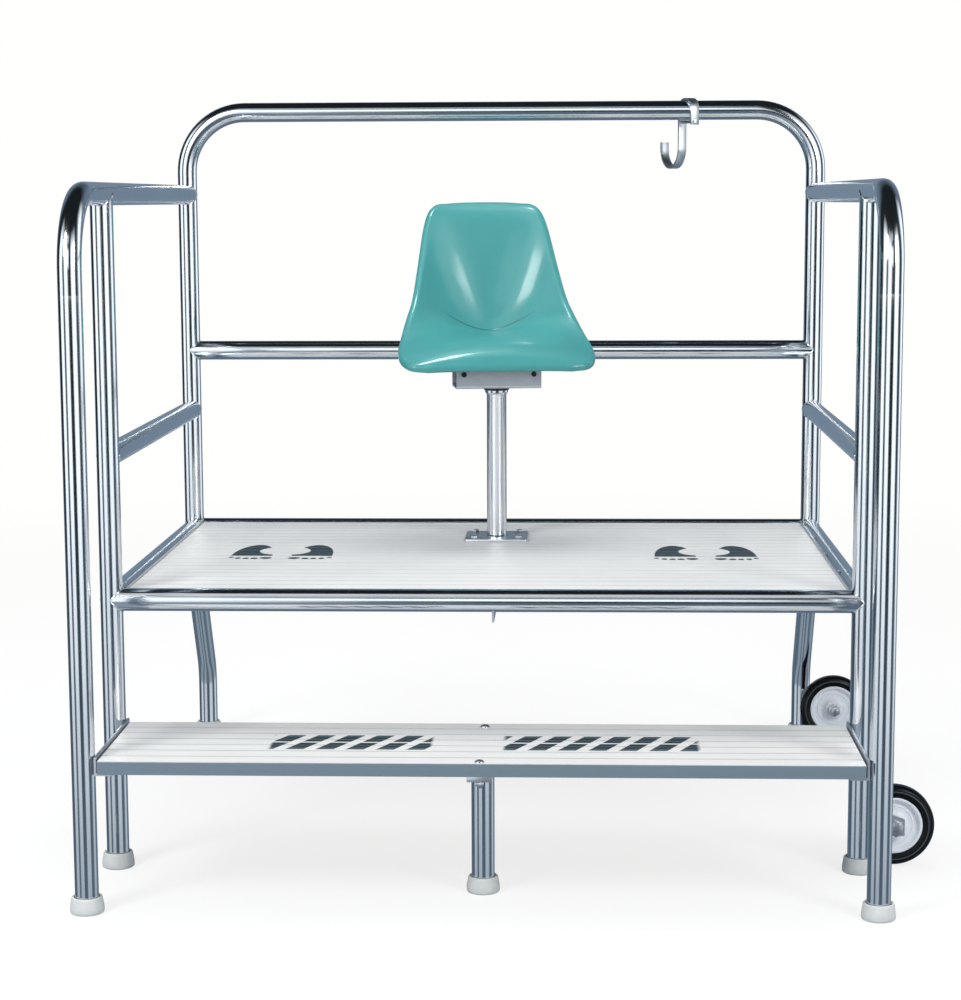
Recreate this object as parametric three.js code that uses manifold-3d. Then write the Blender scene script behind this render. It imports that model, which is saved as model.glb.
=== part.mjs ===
// A movable lifeguard stand: a bent-tube stainless frame with a step and a planked deck, a swivel
// bucket seat on a post, a hook on the rear rail and two wheels on one side for rolling it away.
//
// Millimetres. X runs across the stand, Y from the step towards the back, Z up from the floor.
// The origin is on the floor, in the middle of the foot under the step's centre leg.

import * as THREE from 'three';
import { mergeVertices } from 'three/addons/utils/BufferGeometryUtils.js';
import Module from 'manifold-3d';

const wasm = await Module();
wasm.setup();

// Clearances and counts
const fit = 0.3;
const overrun = 5;
const tubeSides = 16;
const turnedSides = 20;
const footSides = 16;
const wheelSides = 32;
const boltSides = 12;
const hexSides = 6;
const bendStep = Math.PI / 12;
const quarterTurn = Math.PI / 2;

// Frame tube
const tubeRadius = 24.13;
const tubeWall = 1.65;

// Side frames, measured along Y from the front leg's axis and up to each tube's axis
const halfSpan = 800;
const middleLegY = 325;
const hoopY = 1420;
const handrailZ = 1448;
const handrailBendRadius = 150;
const sideMidRailZ = 897;
const deckTubeZ = 588;

// Rear hoop and its legs
const hoopRise = 207;
const hoopTopZ = handrailZ + hoopRise;
const hoopBendRadius = 150;
const rearMidRailZ = 1050;
const rearLegBendTopZ = 504;
const rearLegBendRadius = 150;
const rearLegLean = Math.PI / 6;
const rearLegSetback = 165;

// Foot tips
const footHeight = 34;
const footSole = 6;
const footBottomRadius = 35;
const footTopRadius = 30;
const footEdge = 2.5;

// Extruded planks: a skin with grooves between its flutes, two flanges and two ribs
const plankHeight = 27;
const plankSkin = 3;
const plankRib = 3;
const plankRibShares = [1 / 3, 2 / 3];
const plankEdge = 1.5;
const grooveWidth = 3;
const grooveDepth = 1.2;

// Deck
const deckTopZ = 606;
const deckPlanks = 4;
const deckFlutes = 5;
const deckSeam = 1.5;
const deckFrontGap = 19;
const deckRearGap = 7.24;
const deckEndGap = 0.8;

// Step
const stepTopZ = 320;
const stepFlutes = 7;
const stepFrontOverhang = 27;
const stepRearOverhang = 3.6;
const stepEndGap = 3.8;
const stepLedgeInset = 10;
const centreLegY = 165;
const crossBarWidth = 50.8;
const crossBarThickness = 12.7;
const crossBarInset = 8;
const stepBoltInset = 15;
const stepRearBoltInset = 32;
const stepBoltRadius = 4.76;
const stepBoltHeadRadius = 10;
const stepBoltHeadHeight = 5;
const stepNutFlats = 17;
const stepNutHeight = 8;

// Angle bar under the planks' ends and the deck's middle, with its stitch welds
const angleLeg = 38.1;
const angleThickness = 4.76;
const stitchWelds = 5;
const stitchLength = 14;
const stitchRadius = 4;

// Seat post
const seatPostY = 1120;
const postWall = 3.2;
const postTopZ = 972;
const baseSide = 152.4;
const baseThickness = 6;
const baseCorner = 6;
const baseBoltSpacing = 108;
const baseBoltRadius = 4.76;
const baseBoltFlats = 14.3;
const baseBoltHead = 6;
const baseNutHeight = 8;
const flareRadius = 28.5;
const flareHeight = 10;
const bushFlangeRadius = 31;
const bushFlangeHeight = 6.4;
const bushSleeve = 60;
const spindleRadius = 15.9;
const spindleTail = 12;

// Seat bracket and the block between it and the pan
const bracketWidth = 207;
const bracketDepth = 115;
const bracketHeight = 62;
const bracketSheet = 5;
const bracketBend = 2;
const blockWidth = 190;
const bracketBoltSpacing = 170;
const bracketBoltZ = 35;
const bracketBoltRadius = 4;
const bracketBoltHead = 6.5;
const bracketBoltHeadHeight = 4;

// Seat shell
const seatTurn = THREE.MathUtils.degToRad(8);
const seatLipY = 168;
const seatOffset = -8;
const seatLipZ = 1045;
const seatDepth = 383;
const seatHeight = 377;
const seatHalfWidth = 229;
const seatWall = 4;
const seatRollRadius = 13;
const seatRollTurn = 1.75;
const seatRollSteps = 3;
const seatRowSteps = 18;
const seatHalfColumns = 6;

// Wheels, on plates on the right-hand middle and rear legs: one behind its leg, one in front
const wheelOffset = 81;
const wheelX = halfSpan + wheelOffset;
const wheelZ = 89.5;
const tyreRadius = 87.5;
const tyreWidth = 38;
const tyreShoulder = 8;
const hubRadius = 61.7;
const hubRimWidth = 30;
const hubRimThickness = 6;
const hubWeb = 7;
const hubBossRadius = 24;
const hubWidth = 42;
const axleRadius = 9.5;
const axleClearance = 0.5;
const axleFlats = 30;
const axleHeadHeight = 12;
const axleTail = 8;
const bossRadius = 16;
const bossLength = 6;
const plateThickness = 8;
const plateTopZ = 132;
const plateShoulder = 36;
const plateBottomZ = 72;
const plateNoseReach = 20;
const plateNoseRise = 19;

// Hook on the rear rail, bent from flat bar and turned a little from square
const hookX = 478;
const hookTurn = THREE.MathUtils.degToRad(24);
const hookBarWidth = 22;
const hookBarThickness = 6;
const hookTail = 37;
const hookDrop = 92;
const hookBowlRadius = 47;
const hookTip = 15;
const hookArcSteps = 7;
const hookBoltDrop = 29;
const hookBoltRadius = 4;
const hookBoltFlats = 12.7;
const hookBoltHead = 5;

// Places that follow from the sizes above
const legFaceX = halfSpan - tubeRadius;
const rearLegY = hoopY + rearLegSetback;
const tubeEndZ = footSole + fit;
const plankUnderDeckZ = deckTopZ - plankHeight;
const plankUnderStepZ = stepTopZ - plankHeight;
const ledgeOuterX = legFaceX - fit;
const ledgeInnerX = ledgeOuterX - angleThickness;
const deckBackOfFrontTube = middleLegY + tubeRadius;
const deckFrontOfRearTube = hoopY - tubeRadius;
const crossBarTopZ = plankUnderStepZ - fit;
const baseTopZ = deckTopZ + fit + baseThickness;
const bracketBottomZ = postTopZ + fit + bushFlangeHeight + fit;

const axisX = new THREE.Vector3(1, 0, 0);
const axisY = new THREE.Vector3(0, 1, 0);
const axisZ = new THREE.Vector3(0, 0, 1);
const alongX = new THREE.Matrix4().makeBasis(axisY, axisZ, axisX);
const alongY = new THREE.Matrix4().makeBasis(axisZ, axisX, axisY);
const alongZ = new THREE.Matrix4();

// Materials
function finish(color, roughness, metalness) {
  return new THREE.MeshStandardMaterial({ color, roughness, metalness });
}
const stainless = finish(0x8f9ba6, 0.25, 1);
const satinSteel = finish(0xa7adb0, 0.45, 1);
const aluminium = finish(0xdcdfe2, 0.5, 0.6);
const turquoise = finish(0x4fa9a8, 0.25, 0);
const creamRubber = finish(0xe9e6dc, 0.6, 0);
const whiteNylon = finish(0xdde2e6, 0.4, 0);
const blackRubber = finish(0x15181a, 0.55, 0);
const blackNylon = finish(0x1b1d1f, 0.5, 0);
const plywood = finish(0xa98a5f, 0.7, 0);

const stand = new THREE.Group();

function add(name, geometry, material, parent = stand) {
  const mesh = new THREE.Mesh(geometry, material);
  mesh.name = name;
  parent.add(mesh);
  return mesh;
}

// Joining and cutting
function toSolid(geometry) {
  const bare = geometry.clone();
  bare.deleteAttribute('normal');
  bare.deleteAttribute('uv');
  const merged = mergeVertices(bare);
  return new wasm.Manifold(new wasm.Mesh({
    numProp: 3,
    vertProperties: merged.attributes.position.array,
    triVerts: Uint32Array.from(merged.index.array),
  }));
}

function toGeometry(solid) {
  const mesh = solid.getMesh();
  const geometry = new THREE.BufferGeometry();
  geometry.setAttribute('position', new THREE.BufferAttribute(mesh.vertProperties, mesh.numProp));
  geometry.setIndex(new THREE.BufferAttribute(mesh.triVerts, 1));
  geometry.computeVertexNormals();
  return geometry;
}

function cut(geometry, cutters) {
  return toGeometry(cutters.reduce((solid, cutter) => solid.subtract(toSolid(cutter)), toSolid(geometry)));
}

function join(geometry, others) {
  return toGeometry(others.reduce((solid, other) => solid.add(toSolid(other)), toSolid(geometry)));
}

// Round and flat stock
function circle(radius, sides) {
  return Array.from({ length: sides }, (_, i) => {
    const angle = (i / sides) * 2 * Math.PI;
    return new THREE.Vector2(radius * Math.cos(angle), radius * Math.sin(angle));
  });
}

function pipeSection(radius, wall) {
  const section = new THREE.Shape(circle(radius, tubeSides));
  section.holes.push(new THREE.Path(circle(radius - wall, tubeSides)));
  return section;
}

function extrude(shape, depth, basis, curveSegments = hookArcSteps) {
  return new THREE.ExtrudeGeometry(shape, { depth, curveSegments, bevelEnabled: false }).applyMatrix4(basis);
}

function straightTube(basis, length, wall = tubeWall) {
  return extrude(pipeSection(tubeRadius, wall), length, basis);
}

function rod(basis, radius, length, sides = tubeSides) {
  return extrude(new THREE.Shape(circle(radius, sides)), length, basis);
}

function hexBar(basis, flats, length) {
  return rod(basis, flats / 2 / Math.cos(Math.PI / hexSides), length, hexSides);
}

// A solid turned about Z: its profile is given as pairs of radius and height
function turned(profile, sides = turnedSides) {
  const points = profile.map(([radius, height]) => new THREE.Vector2(radius, height));
  return new THREE.LatheGeometry(points, sides).rotateX(quarterTurn);
}

// The centre line of a bent tube, as stations that each hold a point and a heading
class BentRun extends THREE.Curve {
  constructor(start, heading) {
    super();
    this.stations = [{ point: start.clone(), heading: heading.clone() }];
  }

  get last() {
    return this.stations[this.stations.length - 1];
  }

  straight(length) {
    const { point, heading } = this.last;
    this.stations.push({ point: point.clone().addScaledVector(heading, length), heading: heading.clone() });
    return this;
  }

  bend(axis, angle, radius) {
    const { point, heading } = this.last;
    const side = Math.sign(angle) * radius;
    const centre = point.clone().addScaledVector(axis.clone().cross(heading), side);
    const steps = Math.ceil(Math.abs(angle) / bendStep - Number.EPSILON * tubeSides);
    for (let step = 1; step <= steps; step += 1) {
      const turn = (angle * step) / steps;
      const arm = point.clone().sub(centre).applyAxisAngle(axis, turn);
      this.stations.push({ point: arm.add(centre), heading: heading.clone().applyAxisAngle(axis, turn) });
    }
    return this;
  }

  getPoint(t, target = new THREE.Vector3()) {
    const place = t * (this.stations.length - 1);
    const index = Math.min(Math.floor(place), this.stations.length - 2);
    return target.lerpVectors(this.stations[index].point, this.stations[index + 1].point, place - index);
  }

  getTangent(t, target = new THREE.Vector3()) {
    return target.copy(this.stations[Math.round(t * (this.stations.length - 1))].heading);
  }

  getUtoTmapping(u) {
    return u;
  }
}

function bentTube(run) {
  const steps = run.stations.length - 1;
  return new THREE.ExtrudeGeometry(pipeSection(tubeRadius, tubeWall), { steps, extrudePath: run });
}

// What a welded neighbour takes out of a tube's end, so that the end fits round it
function neighbour(basis, length, x, y, z) {
  return rod(basis, tubeRadius + fit, length).translate(x, y, z);
}

// Frame
function handrail(side) {
  const x = side * halfSpan;
  const run = new BentRun(new THREE.Vector3(x, hoopY, handrailZ), axisY.clone().negate())
    .straight(hoopY - handrailBendRadius)
    .bend(axisX, quarterTurn, handrailBendRadius)
    .straight(handrailZ - handrailBendRadius - tubeEndZ);
  return cut(bentTube(run), [neighbour(alongZ, hoopTopZ, x, hoopY, 0)]);
}

function middleLeg(side) {
  const x = side * halfSpan;
  const leg = straightTube(alongZ, handrailZ - tubeEndZ).translate(x, middleLegY, tubeEndZ);
  return cut(leg, [neighbour(alongY, hoopY, x, 0, handrailZ)]);
}

function rearUpright(side) {
  const lean = rearLegLean;
  const slope = (rearLegSetback - 2 * rearLegBendRadius * (1 - Math.cos(lean))) / Math.sin(lean);
  const bendDrop = 2 * rearLegBendRadius * Math.sin(lean) + slope * Math.cos(lean);
  const topZ = hoopTopZ - hoopBendRadius - fit;
  const run = new BentRun(new THREE.Vector3(side * halfSpan, hoopY, topZ), axisZ.clone().negate())
    .straight(topZ - rearLegBendTopZ)
    .bend(axisX, lean, rearLegBendRadius)
    .straight(slope)
    .bend(axisX, -lean, rearLegBendRadius)
    .straight(rearLegBendTopZ - bendDrop - tubeEndZ);
  return bentTube(run);
}

function rearBow() {
  const start = new THREE.Vector3(-halfSpan, hoopY, hoopTopZ - hoopBendRadius);
  const run = new BentRun(start, axisZ)
    .bend(axisY, quarterTurn, hoopBendRadius)
    .straight(2 * (halfSpan - hoopBendRadius))
    .bend(axisY, quarterTurn, hoopBendRadius);
  return bentTube(run);
}

// A rail across the stand, or along one side, from tube axis to tube axis
function crossRail(y, z) {
  const rail = straightTube(alongX, 2 * halfSpan).translate(-halfSpan, y, z);
  const uprights = [-1, 1].map((side) => neighbour(alongZ, hoopTopZ, side * halfSpan, y, 0));
  return cut(rail, uprights);
}

// At the deck its ends meet the cross tubes as well as the legs
function sideRail(side, z) {
  const x = side * halfSpan;
  const rail = straightTube(alongY, hoopY - middleLegY).translate(x, middleLegY, z);
  return cut(rail, [middleLegY, hoopY].flatMap((y) => [
    neighbour(alongZ, hoopTopZ, x, y, 0),
    neighbour(alongX, 2 * halfSpan, -halfSpan, y, deckTubeZ),
  ]));
}

add('rear_bow', rearBow(), stainless);
add('rear_mid_rail', crossRail(hoopY, rearMidRailZ), stainless);
add('deck_tube_front', crossRail(middleLegY, deckTubeZ), stainless);
add('deck_tube_rear', crossRail(hoopY, deckTubeZ), stainless);
for (const [end, side] of [['left', -1], ['right', 1]]) {
  add(`handrail_${end}`, handrail(side), stainless);
  add(`middle_leg_${end}`, middleLeg(side), stainless);
  add(`rear_upright_${end}`, rearUpright(side), stainless);
  add(`side_mid_rail_${end}`, sideRail(side, sideMidRailZ), stainless);
  add(`deck_tube_${end}`, sideRail(side, deckTubeZ), stainless);
}

// Rubber tips
function footTip() {
  const cavity = tubeRadius + fit;
  return turned([
    [0, 0],
    [footBottomRadius - footEdge, 0],
    [footBottomRadius, footEdge],
    [footTopRadius, footHeight - footEdge],
    [footTopRadius - footEdge, footHeight],
    [cavity, footHeight],
    [cavity, footSole],
    [0, footSole],
  ], footSides);
}

const footPlaces = [
  ['front_left', -halfSpan, 0],
  ['front_right', halfSpan, 0],
  ['middle_left', -halfSpan, middleLegY],
  ['middle_right', halfSpan, middleLegY],
  ['rear_left', -halfSpan, rearLegY],
  ['rear_right', halfSpan, rearLegY],
  ['centre', 0, centreLegY],
];
for (const [place, x, y] of footPlaces) add(`foot_${place}`, footTip(), creamRubber).position.set(x, y, 0);

// Planks
function plankShape(depth, flutes) {
  const under = plankHeight - plankSkin;
  const shape = new THREE.Shape();
  shape.moveTo(0, 0);
  shape.lineTo(plankRib, 0);
  shape.lineTo(plankRib, under);
  for (const share of plankRibShares) {
    const front = share * depth - plankRib / 2;
    shape.lineTo(front, under);
    shape.lineTo(front, 0);
    shape.lineTo(front + plankRib, 0);
    shape.lineTo(front + plankRib, under);
  }
  shape.lineTo(depth - plankRib, under);
  shape.lineTo(depth - plankRib, 0);
  shape.lineTo(depth, 0);
  shape.lineTo(depth, plankHeight - plankEdge);
  shape.lineTo(depth - plankEdge, plankHeight);
  for (let groove = flutes - 1; groove > 0; groove -= 1) {
    const middle = (groove / flutes) * depth;
    shape.lineTo(middle + grooveWidth / 2, plankHeight);
    shape.lineTo(middle, plankHeight - grooveDepth);
    shape.lineTo(middle - grooveWidth / 2, plankHeight);
  }
  shape.lineTo(plankEdge, plankHeight);
  shape.lineTo(0, plankHeight - plankEdge);
  return shape;
}

function plank(depth, flutes, halfLength, y, topZ) {
  return extrude(plankShape(depth, flutes), 2 * halfLength, alongX)
    .translate(-halfLength, y, topZ - plankHeight);
}

function boltHoles(places, radius, fromZ, toZ) {
  return places.map(([x, y]) => rod(alongZ, radius + fit, toZ - fromZ, boltSides).translate(x, y, fromZ));
}

const baseBoltPlaces = [-1, 1].flatMap((across) => [-1, 1].map((along) => [
  (across * baseBoltSpacing) / 2,
  seatPostY + (along * baseBoltSpacing) / 2,
]));

const baseNutReach = baseBoltFlats / 2 / Math.cos(Math.PI / hexSides);

const deckDepth = deckFrontOfRearTube - deckBackOfFrontTube - deckFrontGap - deckRearGap;
const deckPlankDepth = (deckDepth - (deckPlanks - 1) * deckSeam) / deckPlanks;
for (let i = 0; i < deckPlanks; i += 1) {
  const y = deckBackOfFrontTube + deckFrontGap + i * (deckPlankDepth + deckSeam);
  const board = plank(deckPlankDepth, deckFlutes, ledgeInnerX - deckEndGap, y, deckTopZ);
  const through = baseBoltPlaces.filter(
    (place) => place[1] > y - baseNutReach && place[1] < y + deckPlankDepth + baseNutReach);
  const holes = boltHoles(through, baseBoltRadius, plankUnderDeckZ - overrun, deckTopZ + overrun);
  const nutRoom = boltHoles(through, baseNutReach, plankUnderDeckZ - overrun, deckTopZ - plankSkin);
  add(`deck_plank_${i + 1}`, cut(board, [...holes, ...nutRoom]), aluminium);
}

const stepDepth = stepFrontOverhang + middleLegY + stepRearOverhang;
const stepBoltPlaces = [
  [0, stepBoltInset - stepFrontOverhang],
  [0, stepDepth - stepFrontOverhang - stepRearBoltInset],
];
const stepBoard = plank(stepDepth, stepFlutes, ledgeInnerX - stepEndGap, -stepFrontOverhang, stepTopZ);
const stepHoles = boltHoles(stepBoltPlaces, stepBoltRadius, plankUnderStepZ - overrun, stepTopZ + overrun);
add('step_plank', cut(stepBoard, stepHoles), aluminium);

// Angle bar with one leg under the planks and one leg upright; a negative rise turns it down
function angleShape(rise) {
  const up = Math.sign(rise);
  const shape = new THREE.Shape();
  const points = [
    [0, 0],
    [angleLeg, 0],
    [angleLeg, up * angleThickness],
    [angleThickness, up * angleThickness],
    [angleThickness, rise],
    [0, rise],
  ];
  shape.setFromPoints(points.map(([out, height]) => new THREE.Vector2(out, height)));
  return shape;
}

// The ledge stands against the tubes of one side and carries the planks' ends
function ledge(side, fromY, toY, underZ, welds) {
  const basis = new THREE.Matrix4().makeBasis(axisX.clone().multiplyScalar(-side), axisZ,
    axisY.clone().multiplyScalar(side));
  const startY = side > 0 ? fromY : toY;
  const bar = extrude(angleShape(angleLeg), toY - fromY, basis)
    .translate(side * ledgeOuterX, startY, underZ - fit - angleThickness);
  return welds.length ? join(bar, welds) : bar;
}

// Short beads that fill the groove between the deck's ledge and its side tube
function stitches(side) {
  const beadX = ledgeOuterX + stitchRadius - overrun / tubeSides;
  const beadZ = underDeckLedgeTopZ - stitchRadius;
  const first = deckLedgeFrontY + stitchLength / 2;
  const pitch = (deckLedgeRearY - deckLedgeFrontY - 2 * stitchLength) / (stitchWelds - 1);
  return Array.from({ length: stitchWelds }, (_, i) => cut(
    rod(alongY, stitchRadius, stitchLength, boltSides).translate(side * beadX, first + i * pitch, beadZ),
    [neighbour(alongY, hoopY, side * halfSpan, 0, deckTubeZ)],
  ));
}

const deckLedgeFrontY = deckBackOfFrontTube + fit;
const deckLedgeRearY = deckFrontOfRearTube - fit;
const underDeckLedgeTopZ = plankUnderDeckZ - fit - angleThickness + angleLeg;
const stepLedgeFrontY = stepLedgeInset - stepFrontOverhang;
const stepLedgeRearY = middleLegY + tubeRadius - stepLedgeInset;
for (const [end, side] of [['left', -1], ['right', 1]]) {
  add(`deck_ledge_${end}`, ledge(side, deckLedgeFrontY, deckLedgeRearY, plankUnderDeckZ, stitches(side)),
    satinSteel);
  add(`step_ledge_${end}`, ledge(side, stepLedgeFrontY, stepLedgeRearY, plankUnderStepZ, []), satinSteel);
}

// The stringer carries the middle of the deck; its ends fit round the front and rear deck tubes
function deckStringer() {
  const basis = new THREE.Matrix4().makeBasis(axisX.clone().negate(), axisZ, axisY);
  const bar = extrude(angleShape(-angleLeg), hoopY - middleLegY, basis)
    .translate(angleLeg / 2, middleLegY, plankUnderDeckZ - fit);
  const tubes = [middleLegY, hoopY].map((y) => neighbour(alongX, 2 * halfSpan, -halfSpan, y, deckTubeZ));
  return cut(bar, tubes);
}
add('deck_stringer', deckStringer(), satinSteel);

// Under the step: a flat bar from front to rear on a centre leg
function crossBar() {
  const length = stepDepth - 2 * crossBarInset;
  const bar = new THREE.BoxGeometry(crossBarWidth, length, crossBarThickness)
    .translate(0, stepDepth / 2 - stepFrontOverhang, crossBarTopZ - crossBarThickness / 2);
  const fromZ = crossBarTopZ - crossBarThickness - overrun;
  return cut(bar, boltHoles(stepBoltPlaces, stepBoltRadius, fromZ, crossBarTopZ + overrun));
}
add('step_cross_bar', crossBar(), satinSteel);

const centreLegTopZ = crossBarTopZ - crossBarThickness - fit;
add('step_leg', straightTube(alongZ, centreLegTopZ - tubeEndZ), stainless)
  .position.set(0, centreLegY, tubeEndZ);

// Bolts, each with its nut on the end: the origin is under the head
function domeHead() {
  return turned([
    [0, 0],
    [stepBoltHeadRadius, 0],
    [stepBoltHeadRadius * Math.cos(bendStep), stepBoltHeadHeight / 2],
    [stepBoltHeadRadius / 2, stepBoltHeadHeight],
    [0, stepBoltHeadHeight],
  ], boltSides);
}

function boltWithNut(head, radius, nutFlats, nutHeight, grip) {
  const shankLength = grip + nutHeight + radius;
  return join(head, [
    rod(alongZ, radius, shankLength + fit, boltSides).translate(0, 0, -shankLength),
    hexBar(alongZ, nutFlats, nutHeight).translate(0, 0, -grip - nutHeight),
  ]);
}

const stepBoltGrip = stepTopZ + fit - (crossBarTopZ - crossBarThickness - fit);
stepBoltPlaces.forEach(([x, y], i) => {
  const bolt = boltWithNut(domeHead(), stepBoltRadius, stepNutFlats, stepNutHeight, stepBoltGrip);
  add(`step_bolt_${i + 1}`, bolt, satinSteel).position.set(x, y, stepTopZ + fit);
});

const baseBoltGrip = baseTopZ + fit - (deckTopZ - plankSkin - fit);
baseBoltPlaces.forEach(([x, y], i) => {
  const head = hexBar(alongZ, baseBoltFlats, baseBoltHead);
  const bolt = boltWithNut(head, baseBoltRadius, baseBoltFlats, baseNutHeight, baseBoltGrip);
  add(`base_bolt_${i + 1}`, bolt, satinSteel).position.set(x, y, baseTopZ + fit);
});

// Seat post
function basePlate() {
  const half = baseSide / 2;
  const shape = new THREE.Shape();
  const corners = [[1, 1], [-1, 1], [-1, -1], [1, -1]];
  corners.forEach(([x, y], i) => {
    shape.absarc(x * (half - baseCorner), y * (half - baseCorner), baseCorner, i * quarterTurn,
      (i + 1) * quarterTurn);
  });
  const sheet = extrude(shape, baseThickness, alongZ, 2).translate(0, seatPostY, deckTopZ + fit);
  return cut(sheet, boltHoles(baseBoltPlaces, baseBoltRadius, deckTopZ - overrun, baseTopZ + overrun));
}
add('post_base_plate', basePlate(), satinSteel);

// The post's top end is flared
const postFootZ = baseTopZ + fit;
const postLength = postTopZ - postFootZ;
const flare = turned([
  [tubeRadius - postWall / 2, 0],
  [tubeRadius, 0],
  [flareRadius, flareHeight / 2],
  [flareRadius, flareHeight],
  [tubeRadius - postWall / 2, flareHeight],
  [tubeRadius - postWall / 2, 0],
], tubeSides);
const post = join(straightTube(alongZ, postLength, postWall), [flare.translate(0, 0, postLength - flareHeight)]);
add('seat_post', post, stainless).position.set(0, seatPostY, postFootZ);

const bushBore = spindleRadius + fit;
const bushSleeveRadius = tubeRadius - postWall - 2 * fit;
const bushing = turned([
  [bushBore, -bushSleeve],
  [bushSleeveRadius, -bushSleeve],
  [bushSleeveRadius, 0],
  [bushFlangeRadius, 0],
  [bushFlangeRadius, bushFlangeHeight],
  [bushBore, bushFlangeHeight],
  [bushBore, -bushSleeve],
]);
add('swivel_bushing', bushing, blackNylon).position.set(0, seatPostY, postTopZ + fit);

// Everything that turns on the post
const seat = new THREE.Group();
seat.position.set(0, seatPostY, 0);
seat.rotation.z = seatTurn;
stand.add(seat);

const spindleTopZ = bracketBottomZ + bracketSheet;
const spindleBottomZ = postTopZ - bushSleeve - spindleTail;
add('seat_spindle', rod(alongZ, spindleRadius, spindleTopZ - spindleBottomZ, turnedSides), satinSteel, seat)
  .position.set(0, 0, spindleBottomZ);

// Bars along Y where the two bolts pass through the bracket and the block
function bracketBars(radius, length) {
  return [-1, 1].map((side) => rod(alongY, radius, length, boltSides)
    .translate((side * bracketBoltSpacing) / 2, -length / 2, bracketBottomZ + bracketBoltZ));
}

function seatBracket() {
  const half = bracketDepth / 2;
  const outer = bracketBend + bracketSheet;
  const shape = new THREE.Shape();
  shape.moveTo(-half, bracketHeight);
  shape.absarc(-half + outer, outer, outer, Math.PI, 3 * quarterTurn);
  shape.absarc(half - outer, outer, outer, 3 * quarterTurn, 4 * quarterTurn);
  shape.lineTo(half, bracketHeight);
  shape.lineTo(half - bracketSheet, bracketHeight);
  shape.absarc(half - outer, outer, bracketBend, 0, -quarterTurn, true);
  shape.absarc(-half + outer, outer, bracketBend, -quarterTurn, -2 * quarterTurn, true);
  shape.lineTo(-half + bracketSheet, bracketHeight);
  const channel = extrude(shape, bracketWidth, alongX, 2).translate(-bracketWidth / 2, 0, bracketBottomZ);
  const bore = rod(alongZ, spindleRadius + fit, bracketHeight, turnedSides)
    .translate(0, 0, bracketBottomZ - overrun);
  return cut(channel, [bore, ...bracketBars(bracketBoltRadius + fit, bracketDepth + 2 * overrun)]);
}
add('seat_bracket', seatBracket(), satinSteel, seat);

const bracketBoltGrip = bracketDepth + 2 * fit;
[-1, 1].forEach((side, i) => {
  const head = rod(alongZ, bracketBoltHead, bracketBoltHeadHeight, boltSides);
  const bolt = boltWithNut(head, bracketBoltRadius, 2 * bracketBoltHead, bracketBoltHeadHeight,
    bracketBoltGrip).rotateX(quarterTurn);
  add(`bracket_bolt_${i + 1}`, bolt, blackNylon, seat)
    .position.set((side * bracketBoltSpacing) / 2, -bracketBoltGrip / 2, bracketBottomZ + bracketBoltZ);
});

// The shell is lofted over stations that run from the front lip up to the top of the back. Each
// station is a curve across the seat, from a point on the middle line out to a point on the rim.
// Shares: middle back and up, rim out, back and up, of the shell's depth, height and half width.
const panStationShares = [
  [0.000, 0.000, 0.760, 0.014, 0.000],
  [0.020, 0.050, 0.890, 0.034, 0.008],
  [0.060, 0.095, 0.960, 0.088, 0.026],
  [0.130, 0.130, 0.995, 0.165, 0.055],
  [0.240, 0.150, 0.988, 0.270, 0.105],
  [0.400, 0.160, 0.930, 0.390, 0.172],
  [0.580, 0.163, 0.850, 0.510, 0.260],
  [0.700, 0.165, 0.780, 0.590, 0.345],
  [0.738, 0.175, 0.742, 0.645, 0.425],
];
const backStationShares = [
  [0.738, 0.175, 0.742, 0.645, 0.425],
  [0.772, 0.258, 0.708, 0.700, 0.523],
  [0.806, 0.395, 0.672, 0.760, 0.638],
  [0.836, 0.545, 0.640, 0.812, 0.752],
  [0.866, 0.705, 0.605, 0.860, 0.862],
  [0.896, 0.850, 0.560, 0.900, 0.945],
  [0.930, 0.950, 0.490, 0.935, 0.988],
  [0.965, 1.000, 0.400, 0.960, 1.000],
];
const dishPower = 2.1;
const creasePower = 1.65;
const creaseSpreadShare = 0.25;

const stationPoint = ([back, up]) => new THREE.Vector3(0, back * seatDepth - seatLipY,
  up * seatHeight + seatLipZ);
const rimPoint = ([, , out, back, up]) => new THREE.Vector3(out * seatHalfWidth,
  back * seatDepth - seatLipY, up * seatHeight + seatLipZ);
const panMiddle = new THREE.CatmullRomCurve3(panStationShares.map(stationPoint));
const backMiddle = new THREE.CatmullRomCurve3(backStationShares.map(stationPoint));
const rim = new THREE.CatmullRomCurve3([...panStationShares, ...backStationShares.slice(1)].map(rimPoint));
const creaseAt = (panStationShares.length - 1) / (panStationShares.length + backStationShares.length - 2);

// A point of the shell's upper face: v runs from the lip to the top, u across from -1 to 1
function shellPoint(u, v) {
  const onPan = v <= creaseAt;
  const middle = onPan
    ? panMiddle.getPoint(v / creaseAt)
    : backMiddle.getPoint((v - creaseAt) / (1 - creaseAt));
  const edge = rim.getPoint(v);
  const nearCrease = Math.max(0, 1 - Math.abs(v - creaseAt) / creaseSpreadShare);
  const rise = Math.abs(u) ** THREE.MathUtils.lerp(dishPower, creasePower, nearCrease);
  const x = u * edge.x + seatOffset;
  return new THREE.Vector3(x, middle.y, middle.z).lerp(new THREE.Vector3(x, edge.y, edge.z), rise);
}

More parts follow.
